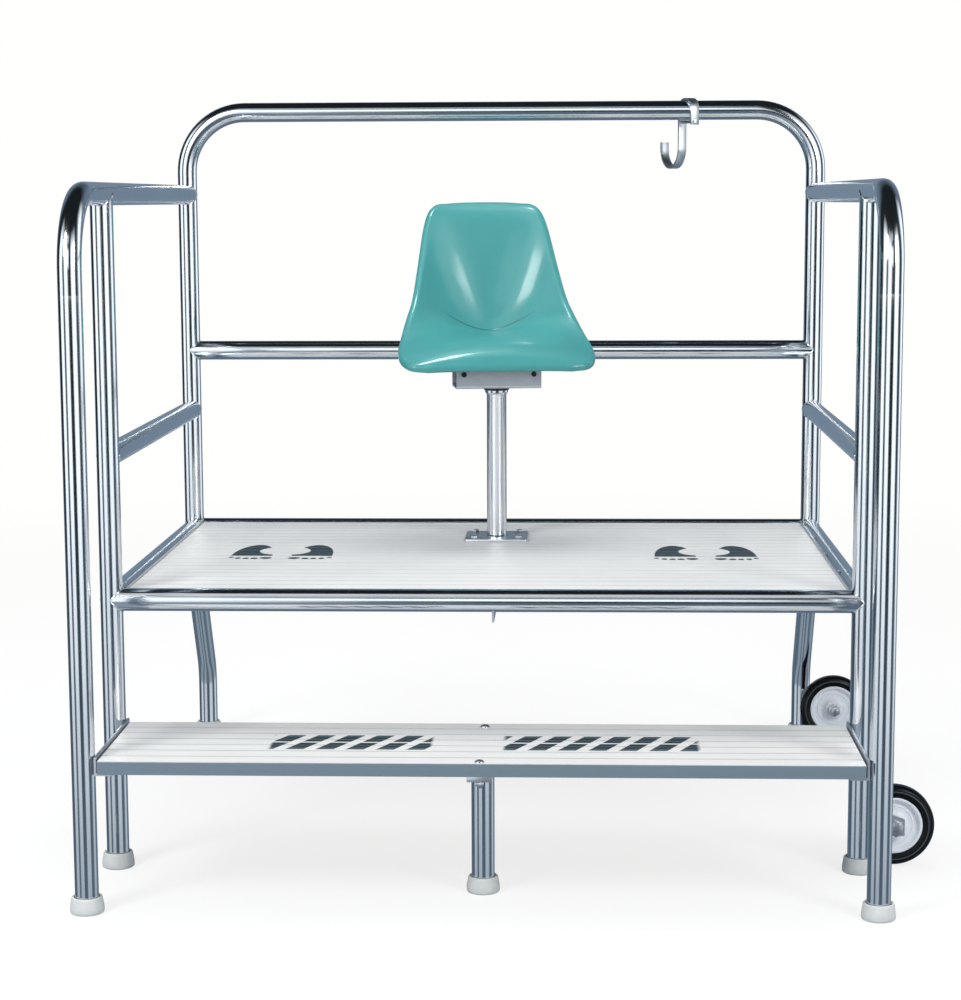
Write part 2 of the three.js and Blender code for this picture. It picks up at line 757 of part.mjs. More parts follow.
// The grid of the upper face, then rings that roll its edge over, as one list of points and faces
function shellSheet() {
  const columns = 2 * seatHalfColumns + 1;
  const creaseRow = Math.round(creaseAt * seatRowSteps);
  const points = [];
  const faces = [];
  for (let row = 0; row <= seatRowSteps; row += 1) {
    const v = row <= creaseRow
      ? (row / creaseRow) * creaseAt
      : creaseAt + ((row - creaseRow) / (seatRowSteps - creaseRow)) * (1 - creaseAt);
    for (let column = 0; column < columns; column += 1) {
      points.push(shellPoint(column / seatHalfColumns - 1, v));
    }
  }
  const at = (row, column) => row * columns + column;
  for (let row = 0; row < seatRowSteps; row += 1) {
    for (let column = 0; column < columns - 1; column += 1) {
      const [a, b] = [at(row, column), at(row, column + 1)];
      const [c, d] = [at(row + 1, column + 1), at(row + 1, column)];
      if (column < seatHalfColumns) faces.push([a, b, d], [b, c, d]);
      else faces.push([a, b, c], [a, c, d]);
    }
  }
  // The border, anticlockwise from above, each point with its neighbour further in
  const border = [];
  const last = columns - 1;
  for (let column = 0; column < last; column += 1) border.push([at(0, column), at(1, column)]);
  for (let row = 0; row < seatRowSteps; row += 1) border.push([at(row, last), at(row, last - 1)]);
  for (let column = last; column > 0; column -= 1) {
    border.push([at(seatRowSteps, column), at(seatRowSteps - 1, column)]);
  }
  for (let row = seatRowSteps; row > 0; row -= 1) border.push([at(row, 0), at(row, 1)]);
  const corners = [at(0, 0), at(0, last), at(seatRowSteps, last), at(seatRowSteps, 0)];
  const cornerInner = [at(1, 1), at(1, last - 1), at(seatRowSteps - 1, last - 1), at(seatRowSteps - 1, 1)];
  const outward = border.map(([edge, inner]) => {
    const corner = corners.indexOf(edge);
    const from = points[corner < 0 ? inner : cornerInner[corner]];
    return points[edge].clone().sub(from).normalize();
  });
  let previous = border.map(([edge]) => edge);
  const count = previous.length;
  const edges = previous.map((index) => points[index].clone());
  for (let step = 1; step <= seatRollSteps; step += 1) {
    const turn = (seatRollTurn * step) / seatRollSteps;
    const ring = edges.map((edge, i) => {
      const ahead = edges[(i + 1) % count].clone().sub(edges[(i + count - 1) % count]).normalize();
      const out = outward[i].clone().addScaledVector(ahead, -outward[i].dot(ahead)).normalize();
      const down = ahead.clone().cross(out).normalize();
      points.push(edge.clone()
        .addScaledVector(out, seatRollRadius * Math.sin(turn))
        .addScaledVector(down, seatRollRadius * (1 - Math.cos(turn))));
      return points.length - 1;
    });
    for (let i = 0; i < count; i += 1) {
      const next = (i + 1) % count;
      faces.push([previous[i], ring[i], ring[next]], [previous[i], ring[next], previous[next]]);
    }
    previous = ring;
  }
  return { points, faces, border: previous };
}

// The sheet's point normals, from the faces that meet there
function sheetNormals({ points, faces }) {
  const normals = points.map(() => new THREE.Vector3());
  for (const [a, b, c] of faces) {
    const normal = points[b].clone().sub(points[a]).cross(points[c].clone().sub(points[a])).normalize();
    for (const corner of [a, b, c]) normals[corner].add(normal);
  }
  return normals.map((normal) => normal.normalize());
}

// A closed body between the sheet raised by one distance and lowered by another
function thicken(sheet, above, below) {
  const normals = sheetNormals(sheet);
  const upper = sheet.points.map((point, i) => point.clone().addScaledVector(normals[i], above));
  const lower = sheet.points.map((point, i) => point.clone().addScaledVector(normals[i], -below));
  return closeBetween(sheet, upper, lower);
}

// A closed body whose upper and lower faces have the sheet's own faces
function closeBetween(sheet, upper, lower) {
  const count = sheet.points.length;
  const index = sheet.faces.flat();
  for (const [a, b, c] of sheet.faces) index.push(a + count, c + count, b + count);
  sheet.border.forEach((here, i) => {
    const next = sheet.border[(i + 1) % sheet.border.length];
    index.push(here, here + count, next + count, here, next + count, next);
  });
  const geometry = new THREE.BufferGeometry().setFromPoints([...upper, ...lower]);
  geometry.setIndex(index);
  geometry.computeVertexNormals();
  return geometry;
}

const shell = shellSheet();
add('seat_shell', thicken(shell, 0, seatWall), turquoise, seat);

// The pan alone, without its rolled edge, as one list of points and faces
function panSheet() {
  const columns = 2 * seatHalfColumns + 1;
  const creaseRow = Math.round(creaseAt * seatRowSteps);
  const rows = Array.from({ length: creaseRow + 1 }, (_, row) => row);
  const across = Array.from({ length: columns }, (_, column) => column);
  const at = (row, column) => row * columns + column;
  const points = rows.flatMap((row) => across.map(
    (column) => shellPoint(column / seatHalfColumns - 1, (row / creaseRow) * creaseAt)));
  const faces = rows.slice(1).flatMap((row) => across.slice(1).flatMap((column) => [
    [at(row - 1, column - 1), at(row - 1, column), at(row, column)],
    [at(row - 1, column - 1), at(row, column), at(row, column - 1)],
  ]));
  const last = columns - 1;
  const border = [
    ...across.slice(0, last).map((column) => at(0, column)),
    ...rows.slice(0, creaseRow).map((row) => at(row, last)),
    ...across.slice(1).reverse().map((column) => at(creaseRow, column)),
    ...rows.slice(1).reverse().map((row) => at(row, 0)),
  ];
  return { points, faces, border };
}

// Everything above the pan's under side, up to a height, as one closed body
function abovePan(topZ) {
  const pan = panSheet();
  const normals = sheetNormals(pan);
  const lower = pan.points.map((point, i) => point.clone().addScaledVector(normals[i], -seatWall - fit));
  const upper = lower.map((point) => point.clone().setZ(topZ));
  return closeBetween(pan, upper, lower);
}

// The block fills the bracket and its top is cut to the pan's under side
function seatBlock() {
  const half = bracketDepth / 2 - bracketSheet - fit;
  const bottomZ = spindleTopZ + fit;
  const height = seatLipZ + seatHeight / 2 - bottomZ;
  const shape = new THREE.Shape();
  shape.moveTo(-half, height);
  shape.lineTo(-half, bracketBend);
  shape.lineTo(-half + bracketBend, 0);
  shape.lineTo(half - bracketBend, 0);
  shape.lineTo(half, bracketBend);
  shape.lineTo(half, height);
  const blank = extrude(shape, blockWidth, alongX).translate(-blockWidth / 2, 0, bottomZ);
  const bores = bracketBars(bracketBoltRadius + fit, bracketDepth);
  return cut(blank, [abovePan(seatLipZ + seatHeight), ...bores]);
}
add('seat_block', seatBlock(), plywood, seat);

// Wheels
const tyreHalf = tyreWidth / 2;
const tyreBore = hubRadius + fit;
const tyreProfile = [
  [tyreBore, -hubRimWidth / 2],
  [tyreRadius - tyreShoulder, -tyreHalf],
  [tyreRadius, -tyreHalf + tyreShoulder],
  [tyreRadius, tyreHalf - tyreShoulder],
  [tyreRadius - tyreShoulder, tyreHalf],
  [tyreBore, hubRimWidth / 2],
  [tyreBore, -hubRimWidth / 2],
];
const hubBore = axleRadius + axleClearance;
const hubFace = [
  [hubRadius, hubRimWidth / 2],
  [hubRadius - hubRimThickness, hubRimWidth / 2],
  [hubRadius - 2 * hubRimThickness, hubWeb / 2],
  [hubBossRadius + hubRimThickness, hubWeb / 2],
  [hubBossRadius, hubWidth / 2],
  [hubBore, hubWidth / 2],
];
const hubProfile = [
  ...hubFace.map(([radius, height]) => [radius, -height]).reverse(),
  ...hubFace,
  [hubBore, -hubWidth / 2],
];

// A plate stands against its leg and reaches out in X. The wheel is on its far side, which is
// behind the leg where behind is 1 and in front of it where behind is -1.
function wheelPlate(behind) {
  const shape = new THREE.Shape();
  const reach = wheelX - halfSpan;
  shape.moveTo(0, plateBottomZ);
  shape.lineTo(reach + plateNoseReach, plateBottomZ);
  shape.lineTo(reach + plateNoseReach, wheelZ + plateNoseRise);
  shape.lineTo(plateShoulder, plateTopZ);
  shape.lineTo(0, plateTopZ);
  const basis = new THREE.Matrix4().makeBasis(axisX, axisZ, axisY.clone().negate());
  const lowestY = (start, length) => (behind > 0 ? start : -start - length);
  const plate = extrude(shape, plateThickness, basis)
    .translate(0, lowestY(0, plateThickness) + plateThickness, 0);
  const bossLap = plateThickness / 2;
  const boss = rod(alongY, bossRadius, bossLength + bossLap, turnedSides)
    .translate(reach, lowestY(bossLap, bossLength + bossLap), wheelZ);
  const boreLength = plateThickness + bossLength + 2 * overrun;
  const bore = rod(alongY, axleRadius + fit, boreLength, turnedSides)
    .translate(reach, lowestY(-overrun, boreLength), wheelZ);
  return cut(join(plate, [boss]), [bore]);
}

// The bolt's head is on the plate's leg side and its threaded end stands out of the nut
function wheelSet(name, legY, behind) {
  const plateLegY = legY + behind * (tubeRadius + fit);
  const wheelY = plateLegY + behind * (plateThickness + bossLength + fit + hubWidth / 2);
  const nutNearY = wheelY + behind * (hubWidth / 2 + fit);
  const nutFarY = nutNearY + behind * axleHeadHeight;
  const grip = Math.abs(nutFarY - plateLegY) + fit + axleTail;
  const bolt = join(hexBar(alongY, axleFlats, axleHeadHeight),
    [rod(alongY, axleRadius, grip + fit, turnedSides).translate(0, -grip, 0)]);
  if (behind > 0) bolt.rotateX(2 * quarterTurn);
  const axleNut = cut(hexBar(alongY, axleFlats, axleHeadHeight),
    [rod(alongY, axleRadius + fit, axleHeadHeight + 2 * overrun, turnedSides).translate(0, -overrun, 0)]);
  add(`${name}_wheel_plate`, wheelPlate(behind), stainless).position.set(halfSpan, plateLegY, 0);
  add(`${name}_axle_bolt`, bolt, satinSteel).position.set(wheelX, plateLegY - behind * fit, wheelZ);
  add(`${name}_axle_nut`, axleNut, satinSteel)
    .position.set(wheelX, Math.min(nutNearY, nutFarY), wheelZ);
  const wheel = new THREE.Group();
  wheel.position.set(wheelX, wheelY, wheelZ);
  wheel.rotation.x = quarterTurn;
  stand.add(wheel);
  add(`${name}_wheel_tyre`, turned(tyreProfile, wheelSides), blackRubber, wheel);
  add(`${name}_wheel_hub`, turned(hubProfile), whiteNylon, wheel);
}
wheelSet('front', middleLegY, 1);
wheelSet('rear', rearLegY, -1);

// Hook: the bar goes over the rail, down behind it and round in a wide bowl that opens upwards
// The rail's section in the hook's plane is an ellipse, and it slides along as the bar has width
const hookSlide = (hookBarWidth / 2) * Math.tan(hookTurn);
const hookReach = tubeRadius / Math.cos(hookTurn) + fit;
const hookInner = hookReach + hookSlide;
const hookOuter = hookInner + hookBarThickness;
const hookAcross = new THREE.Vector3(Math.cos(hookTurn), Math.sin(hookTurn), 0);
const hookBack = new THREE.Vector3(-Math.sin(hookTurn), Math.cos(hookTurn), 0);
const hookBasis = new THREE.Matrix4().makeBasis(hookBack, axisZ, hookAcross);

function railHook() {
  const bowlX = hookOuter + hookBowlRadius;
  const bowlOuter = hookBowlRadius + hookBarThickness;
  const innerRise = tubeRadius + fit;
  const outerReach = hookReach + hookBarThickness;
  const outerRise = innerRise + hookBarThickness;
  const shape = new THREE.Shape();
  shape.moveTo(-hookInner, -hookTail);
  shape.absellipse(-hookSlide, 0, hookReach, innerRise, Math.PI, quarterTurn, true);
  shape.absellipse(hookSlide, 0, hookReach, innerRise, quarterTurn, 0, true);
  shape.absarc(bowlX, -hookDrop, bowlOuter, Math.PI, 2 * Math.PI);
  shape.lineTo(bowlX + bowlOuter, hookTip - hookDrop);
  shape.lineTo(bowlX + hookBowlRadius, hookTip - hookDrop);
  shape.absarc(bowlX, -hookDrop, hookBowlRadius, 2 * Math.PI, Math.PI, true);
  shape.absellipse(hookSlide, 0, outerReach, outerRise, 0, quarterTurn);
  shape.absellipse(-hookSlide, 0, outerReach, outerRise, quarterTurn, Math.PI);
  shape.lineTo(-hookOuter, -hookTail);
  const bar = new THREE.ExtrudeGeometry(shape, {
    depth: hookBarWidth,
    curveSegments: hookArcSteps,
    bevelEnabled: false,
  }).translate(0, 0, -hookBarWidth / 2);
  const bore = rod(alongX, hookBoltRadius + fit, 2 * (hookOuter + overrun), boltSides)
    .translate(-hookOuter - overrun, -hookBoltDrop, 0);
  return cut(bar, [bore]).applyMatrix4(hookBasis);
}

// The bolt passes under the rail, through the hook's front end and its shank
function hookBolt() {
  const head = hexBar(alongZ, hookBoltFlats, hookBoltHead);
  const grip = 2 * (hookOuter + fit);
  return boltWithNut(head, hookBoltRadius, hookBoltFlats, hookBoltHead, grip)
    .rotateY(-quarterTurn)
    .translate(-grip / 2, -hookBoltDrop, 0)
    .applyMatrix4(hookBasis);
}
add('rail_hook', railHook(), satinSteel).position.set(hookX, hoopY, hoopTopZ);
add('hook_bolt', hookBolt(), satinSteel).position.set(hookX, hoopY, hoopTopZ);

stand.position.y = -centreLegY;

export default stand;
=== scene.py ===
# %% [markdown]
# # A lifeguard stand, from bent tube to gel coat
#
# The stand is a frame of polished stainless tube that carries a grooved step, a planked deck and a
# moulded swivel seat. The measured model comes in first and stays where it is. Every piece made
# here is laid over one of its solids, in metres and in the same place, and only adds what a camera
# close by would see: round tubes, weld beads, rolled edges, rubber, paint and polish.

import math

import bmesh
import bpy
from mathutils import Matrix, Vector


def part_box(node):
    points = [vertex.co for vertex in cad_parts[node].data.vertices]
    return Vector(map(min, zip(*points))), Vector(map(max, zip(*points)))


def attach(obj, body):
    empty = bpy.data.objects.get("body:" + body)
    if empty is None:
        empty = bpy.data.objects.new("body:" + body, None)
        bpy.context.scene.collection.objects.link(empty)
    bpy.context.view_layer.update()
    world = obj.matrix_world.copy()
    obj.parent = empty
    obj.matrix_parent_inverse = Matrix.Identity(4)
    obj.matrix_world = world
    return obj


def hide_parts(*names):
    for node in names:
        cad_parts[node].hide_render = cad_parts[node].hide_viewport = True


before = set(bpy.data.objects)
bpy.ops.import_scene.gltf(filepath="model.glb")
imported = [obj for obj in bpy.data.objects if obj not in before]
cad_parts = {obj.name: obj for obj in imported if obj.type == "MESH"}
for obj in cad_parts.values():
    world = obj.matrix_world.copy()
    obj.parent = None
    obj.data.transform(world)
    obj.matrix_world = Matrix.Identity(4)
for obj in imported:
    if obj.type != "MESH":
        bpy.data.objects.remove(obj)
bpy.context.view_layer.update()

# %% [markdown]
# ## The camera
#
# A photograph of a tubular frame gives its own camera away: the tubes' width tells how far off
# they are, and the lines of the step and deck tell how high the camera stood. Here it stood at a
# standing person's eye, about four and a half metres off, with a long lens that flattens the
# perspective. The small shift keeps the uprights' lines where they are without tilting further.

# %% Place the camera
AXIS_X = Vector((1, 0, 0))
AXIS_Y = Vector((0, 1, 0))
AXIS_Z = Vector((0, 0, 1))
CAMERA_PLACE = (0.1797, -4.6318, 1.4317)


def photo_camera():
    yaw, pitch, roll = math.radians(2.257), math.radians(7.909), math.radians(-0.219)
    ahead = Vector((
        -math.sin(yaw) * math.cos(pitch), math.cos(yaw) * math.cos(pitch), -math.sin(pitch)))
    level = Vector((math.cos(yaw), math.sin(yaw), 0))
    upright = level.cross(ahead)
    right = math.cos(roll) * level + math.sin(roll) * upright
    up = math.cos(roll) * upright - math.sin(roll) * level
    lens = bpy.data.cameras.new("photo_camera")
    lens.lens = 82.35
    lens.shift_y = 0.018
    lens.clip_end = 200
    camera = bpy.data.objects.new("photo_camera", lens)
    turn = Matrix((right, up, -ahead)).transposed().to_4x4()
    camera.matrix_world = Matrix.Translation(CAMERA_PLACE) @ turn
    bpy.context.scene.collection.objects.link(camera)
    return camera


camera = photo_camera()
bpy.context.scene.camera = camera
print(f"the camera stands at {CAMERA_PLACE} with a lens of {camera.data.lens:.1f} mm")

# %% [markdown]
# ## Shader maths as plain expressions
#
# A mask such as "inside this ellipse" takes a dozen Math nodes. Wired by hand they hide what they
# mean, so one small class wraps a socket and lets Python's own signs add the nodes. Anything that
# isn't arithmetic comes from one method that takes the node's type, its inputs and its settings.


# %% A socket that knows arithmetic
class Value:
    def __init__(self, finish, socket):
        self.finish = finish
        self.socket = socket

    def maths(self, operation, *others):
        return self.finish.maths(operation, self, *others)

    def __add__(self, other):
        return self.maths("ADD", other)

    def __mul__(self, other):
        return self.maths("MULTIPLY", other)

    def __sub__(self, other):
        return self.maths("SUBTRACT", other)

    def __rsub__(self, other):
        return self.finish.maths("SUBTRACT", other, self)

    def __truediv__(self, other):
        return self.maths("DIVIDE", other)

    def __rtruediv__(self, other):
        return self.finish.maths("DIVIDE", other, self)

    __radd__ = __add__
    __rmul__ = __mul__

    def size(self):
        return self.maths("ABSOLUTE")

    def least(self, other):
        return self.maths("MINIMUM", other)

    def most(self, other):
        return self.maths("MAXIMUM", other)

    def length_with(self, other):
        """The length of an arrow whose two parts are given."""
        return (self * self + other * other).maths("SQRT")


# %% The nodes of a finish
def set_stops(ramp, stops):
    while len(ramp.elements) > 1:
        ramp.elements.remove(ramp.elements[-1])
    for i, (place, colour) in enumerate(stops):
        element = ramp.elements[0] if i == 0 else ramp.elements.new(place)
        element.position = place
        element.color = (*colour, 1)


class Finish:
    """The nodes of one material, or of the world."""

    def __init__(self, tree):
        self.tree = tree

    def node(self, kind, inputs=None, output=0, stops=None, **settings):
        made = self.tree.nodes.new(kind)
        for name, setting in settings.items():
            setattr(made, name, setting)
        if stops:
            set_stops(made.color_ramp, stops)
        for name, value in (inputs or {}).items():
            if isinstance(value, Value):
                self.tree.links.new(value.socket, made.inputs[name])
            else:
                made.inputs[name].default_value = value
        return Value(self, made.outputs[output])

    def maths(self, operation, *values):
        return self.node("ShaderNodeMath", dict(enumerate(values)), operation=operation)

    def parts(self, vector):
        return [self.node("ShaderNodeSeparateXYZ", {0: vector}, output=i) for i in range(3)]

    def places(self):
        """Object coordinates, whole and in their three parts."""
        where = self.node("ShaderNodeTexCoord", output="Object")
        return where, self.parts(where)

    def noise(self, where, scale, detail=3.0):
        return self.node("ShaderNodeTexNoise", {"Vector": where, "Scale": scale, "Detail": detail})

    def drawn_lines(self, parts, along, across, detail):
        """Noise stretched along the x axis, as rolling and drawing leave it."""
        x, y, z = parts
        where = self.node("ShaderNodeCombineXYZ", {0: x * along, 1: y * across, 2: z * across})
        return self.noise(where, 1.0, detail)

    def graded(self, value, start, end, low=0.0, high=1.0):
        """From low to high while the value goes from start to end, and held there beyond."""
        return self.node("ShaderNodeMapRange", {0: value, 1: start, 2: end, 3: low, 4: high})

    def tinted(self, value, reach, stops):
        """Colours at stops in degrees, from -reach to reach, for a value from 0 to 1."""
        stops = [((place + reach) / (2 * reach), colour) for place, colour in stops]
        return self.node("ShaderNodeValToRGB", {0: value}, stops=stops)

    def between(self, factor, one, other):
        """A colour mixed from two. The node's sockets 6 and 7 take them, and 2 gives the mix."""
        return self.node("ShaderNodeMix", {0: factor, 6: one, 7: other}, 2, data_type="RGBA")

    def bump(self, height, distance, strength):
        return self.node(
            "ShaderNodeBump", {"Height": height, "Distance": distance, "Strength": strength})

    def surface(self, output, to_camera, in_gloss, elsewhere):
        """One shader for the camera, one for mirrored rays and one for all others."""
        glossy_ray = self.node("ShaderNodeLightPath", output="Is Glossy Ray")
        camera_ray = self.node("ShaderNodeLightPath", output="Is Camera Ray")
        other = self.node("ShaderNodeMixShader", {0: glossy_ray, 1: elsewhere, 2: in_gloss})
        shown = self.node("ShaderNodeMixShader", {0: camera_ray, 1: other, 2: to_camera})
        self.tree.links.new(shown.socket, self.tree.nodes[output].inputs["Surface"])


# %% A material with its shader
def new_finish(name, **sockets):
    """A Principled material whose named sockets are set. Links are added by dress."""
    material = bpy.data.materials.new(name)
    material.use_nodes = True
    shader = material.node_tree.nodes["Principled BSDF"]
    for socket, value in sockets.items():
        shader.inputs[socket.replace("_", " ")].default_value = value
    return material, Finish(material.node_tree)


def dress(material, **links):
    tree = material.node_tree
    shader = tree.nodes["Principled BSDF"]
    for socket, value in links.items():
        tree.links.new(value.socket, shader.inputs[socket.replace("_", " ")])
    print(f"{material.name}: {len(tree.nodes)} nodes")
    return material


def rgba(red, green, blue):
    return (red, green, blue, 1.0)


# %% [markdown]
# ## Polished and satin steel
#
# Polished tube has hardly a colour of its own: it shows the studio in long streaks. What makes it
# real is that the polish isn't quite even, so the roughness wanders a little, and fine polishing
# lines run round it. Plates and fasteners are left satin, which blurs the studio to soft tones.


# %% Steel finishes
def polished_tube():
    material, finish = new_finish("polished_tube", Metallic=1.0)
    where, _ = finish.places()
    cloud = finish.noise(where, 7.0)
    grain = finish.noise(where, 420.0, 2.0)
    return dress(
        material,
        Base_Color=finish.between(cloud, rgba(0.58, 0.63, 0.68), rgba(0.72, 0.75, 0.78)),
        Roughness=0.085 + cloud * 0.09,
        Normal=finish.bump(grain, 0.00004, 0.5))


def satin_plate():
    material, finish = new_finish("satin_plate", Metallic=1.0)
    _, parts = finish.places()
    lines = finish.drawn_lines(parts, 12.0, 320.0, 4.0)
    return dress(
        material,
        Base_Color=finish.between(lines, rgba(0.56, 0.60, 0.64), rgba(0.72, 0.75, 0.78)),
        Roughness=0.30 + lines * 0.16,
        Normal=finish.bump(lines, 0.00012, 0.5))


def zinc_fastener():
    material, finish = new_finish("zinc_fastener", Metallic=1.0)
    where, _ = finish.places()
    bloom = finish.noise(where, 180.0)
    return dress(
        material,
        Base_Color=finish.between(bloom, rgba(0.36, 0.40, 0.44), rgba(0.62, 0.65, 0.68)),
        Roughness=0.24 + bloom * 0.2)


POLISHED_TUBE = polished_tube()
SATIN_PLATE = satin_plate()
ZINC_FASTENER = zinc_fastener()

# %% [markdown]
# ## Planks with painted marks
#
# The step and the deck are one kind of aluminium extrusion, anodised to a pale satin. Two sorts of
# marks are painted on through stencils: pairs of feet on the deck, and a block of slanted bars on
# the step. Paint lies in the surface, so the marks are masks in the material and the grooves run
# on through them. A foot is a few ellipses, and because the marks come in mirrored pairs, folding
# the coordinates with an absolute value draws all four with one set of nodes.


# %% Masks for the painted marks
PAIR_X = 0.497
FOOT_FROM_PAIR = 0.071
BALL_Y = 0.6565
# Middle and half width, across and along the foot, from the big toe to the small one
TOES = [
    (-0.0380, 0.6245, 0.0145, 0.0130),
    (-0.0115, 0.6190, 0.0085, 0.0110),
    (0.0080, 0.6190, 0.0070, 0.0105),
    (0.0270, 0.6215, 0.0068, 0.0100),
    (0.0443, 0.6340, 0.0062, 0.0090),
]
STEP_MIDDLE_Y = -0.014


def ellipse(x, y, centre_x, centre_y, radius_x, radius_y):
    """Below 1 inside the ellipse."""
    across = (x - centre_x) / radius_x
    along = (y - centre_y) / radius_y
    return across * across + along * along


def foot_marks(x, y):
    across = (x.size() - PAIR_X).size() - FOOT_FROM_PAIR
    # The sole is half an ellipse from ball to heel, with the arch cut out of its inner side
    sole = ellipse(across, y, 0.000, 0.660, 0.048, 0.167)
    arch = ellipse(across, y, -0.054, 0.733, 0.043, 0.056)
    mark = sole.most(2.0 - arch).most(1.0 + (BALL_Y - y) * 40.0)
    for toe in TOES:
        mark = mark.least(ellipse(across, y, *toe))
    return mark


def stencil_bars(x, y):
    """Two groups of slanted bars, with a thin bridge across them as a stencil leaves it."""
    left = ellipse(x, y, -0.270, STEP_MIDDLE_Y, 0.166, 10.0)
    right = ellipse(x, y, 0.245, STEP_MIDDLE_Y, 0.200, 10.0)
    slanted = x - y * 0.45
    bar = ((slanted / 0.062).maths("FRACT") - 0.36).size() / 0.30
    off_middle = (y - STEP_MIDDLE_Y).size()
    bridge = 1.0 + (0.004 - off_middle) * 1000.0
    return left.least(right).most(bar).most(off_middle / 0.062).most(bridge)


# %% Plank finishes
DECK_TOP = 0.606
STEP_TOP = 0.320
STEP_FRONT_Y = -0.192
DECK_FLUTES_Y = 0.203
FLUTE_PITCH = 0.0509


def plank_finish(name, marks, top_z, front_y):
    material, finish = new_finish(name)
    where, (x, y, z) = finish.places()
    draw_lines = finish.drawn_lines((x, y, z), 3.0, 160.0, 3.0)
    cloud = finish.noise(where, 5.0)
    ragged = finish.noise(where, 260.0)
    on_top = finish.graded(z - top_z, -0.0006, -0.0003)
    paint = finish.graded(marks(x, y) + (ragged - 0.5) * 0.10, 1.04, 0.96) * on_top
    bare = finish.between(
        draw_lines * 0.6 + cloud * 0.4, rgba(0.66, 0.66, 0.65), rgba(0.78, 0.77, 0.75))
    # Everything below the top face, the grooves, noses, sides and underside, is painted a dark
    # blue-grey as shade
    bare = finish.between(on_top, rgba(0.15, 0.20, 0.24), bare)
    # Painted shade darkens a strip beside each groove, and paint wears thin along the crown of each
    # flute
    off_crown = (((y - front_y) / FLUTE_PITCH).maths("FRACT") - 0.5).size()
    # This strip beside each groove is painted shade
    painted_groove_shade = finish.graded(off_crown, 0.40, 0.47, 0.0, 0.55)
    bare = finish.between(painted_groove_shade * on_top, bare, rgba(0.30, 0.33, 0.35))
    worn = finish.graded(off_crown, 0.06, 0.16, 1.0, 0.0) * 0.8 + finish.noise(where, 60.0) * 0.2
    painted = finish.between(worn, rgba(0.010, 0.024, 0.030), rgba(0.060, 0.095, 0.115))
    return dress(
        material,
        Base_Color=finish.between(paint, bare, painted),
        Metallic=0.12 - paint * 0.12,
        Roughness=0.36 + cloud * 0.12 + paint * 0.2,
        Normal=finish.bump(draw_lines, 0.00008, 0.4))


DECK_MARKED = plank_finish("deck_plank_marked", foot_marks, DECK_TOP, DECK_FLUTES_Y)
STEP_MARKED = plank_finish("step_plank_marked", stencil_bars, STEP_TOP, STEP_FRONT_Y)

# %% [markdown]
# ## Rubber, nylon and board
#
# The feet are moulded in cream rubber, the wheels' hubs in white nylon and the swivel's bush in
# black, and the block under the seat is a sealed dark board. Close by, all four look alike: two
# near colours in soft speckles, which the roughness and a slight bump follow. So one function makes
# them, and only the colours, the sheen and the size of the speckles differ.


# %% Speckled finishes
def speckled(name, dark, light, roughness, scale):
    material, finish = new_finish(name)
    where, _ = finish.places()
    speckle = finish.noise(where, scale, 5.0)
    return dress(
        material,
        Base_Color=finish.between(speckle, dark, light),
        Roughness=roughness + speckle * 0.12,
        Normal=finish.bump(speckle, 0.0002, 0.3))


CREAM_RUBBER = speckled(
    "cream_rubber", rgba(0.54, 0.56, 0.55), rgba(0.68, 0.69, 0.67), 0.42, 60.0)
WHITE_NYLON = speckled(
    "white_nylon", rgba(0.76, 0.81, 0.86), rgba(0.90, 0.92, 0.94), 0.30, 45.0)
BLACK_NYLON = speckled(
    "black_nylon", rgba(0.010, 0.012, 0.014), rgba(0.022, 0.025, 0.028), 0.38, 120.0)
SEALED_BOARD = speckled(
    "sealed_board", rgba(0.05, 0.045, 0.035), rgba(0.12, 0.10, 0.07), 0.55, 30.0)

# %% [markdown]
# ## Turning a mesh into a piece
#
# Every piece ends the same way: its faces are turned outwards, it is shaded smooth with sharp edges
# kept, and it is told which body it rides on, which solid it stands for and which finish it has.
# The print says how far its box lies from the solid's, which should be next to nothing.


# %% Finish a piece
def new_object(bm, name, material):
    mesh = bpy.data.meshes.new(name)
    bm.to_mesh(mesh)
    bm.free()
    mesh.shade_smooth()
    mesh.materials.append(material)
    made = bpy.data.objects.new(name, mesh)
    bpy.context.scene.collection.objects.link(made)
    return made


def make_piece(bm, node, form, material, body="stand", sharp=35.0):
    bmesh.ops.recalc_face_normals(bm, faces=bm.faces)
    piece = new_object(bm, f"{node}_{form}", material)
    mesh = piece.data
    mesh.set_sharp_from_angle(angle=math.radians(sharp))
    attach(piece, body)
    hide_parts(node)
    low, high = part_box(node)
    mine = [[end(v.co[i] for v in mesh.vertices) for end in (min, max)] for i in range(3)]
    off = max(max(abs(mine[i][0] - low[i]), abs(mine[i][1] - high[i])) for i in range(3))
    print(f"{piece.name}: {len(mesh.polygons)} faces, {off * 1000:.1f} mm off its solid")


def paint_node(material, node):
    """A solid whose shape is right keeps it and gets a finish."""
    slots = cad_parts[node].data.materials
    slots.clear()
    slots.append(material)
    print(f"{node}: shown as it is, in {material.name}")


# %% [markdown]
# ## Bending tube
#
# A tube bender takes a straight length and rolls it round a die. The same happens here: a circle is
# made once, extruded along the straights and spun about the die's centre at each bend, so the tube
# keeps its true width all the way. Sixteen flat sides are enough for the measured solid, but here
# forty-eight give the streaks their clean edges.

# %% Walk a circle along a tube
BMVert, BMEdge, BMFace = bmesh.types.BMVert, bmesh.types.BMEdge, bmesh.types.BMFace
TUBE_SIDES = 48
TUBE_RADIUS = 0.02413
BEND = 0.150
BEND_STEP = 5


def of_kind(geometry, kind):
    return [item for item in geometry if isinstance(item, kind)]


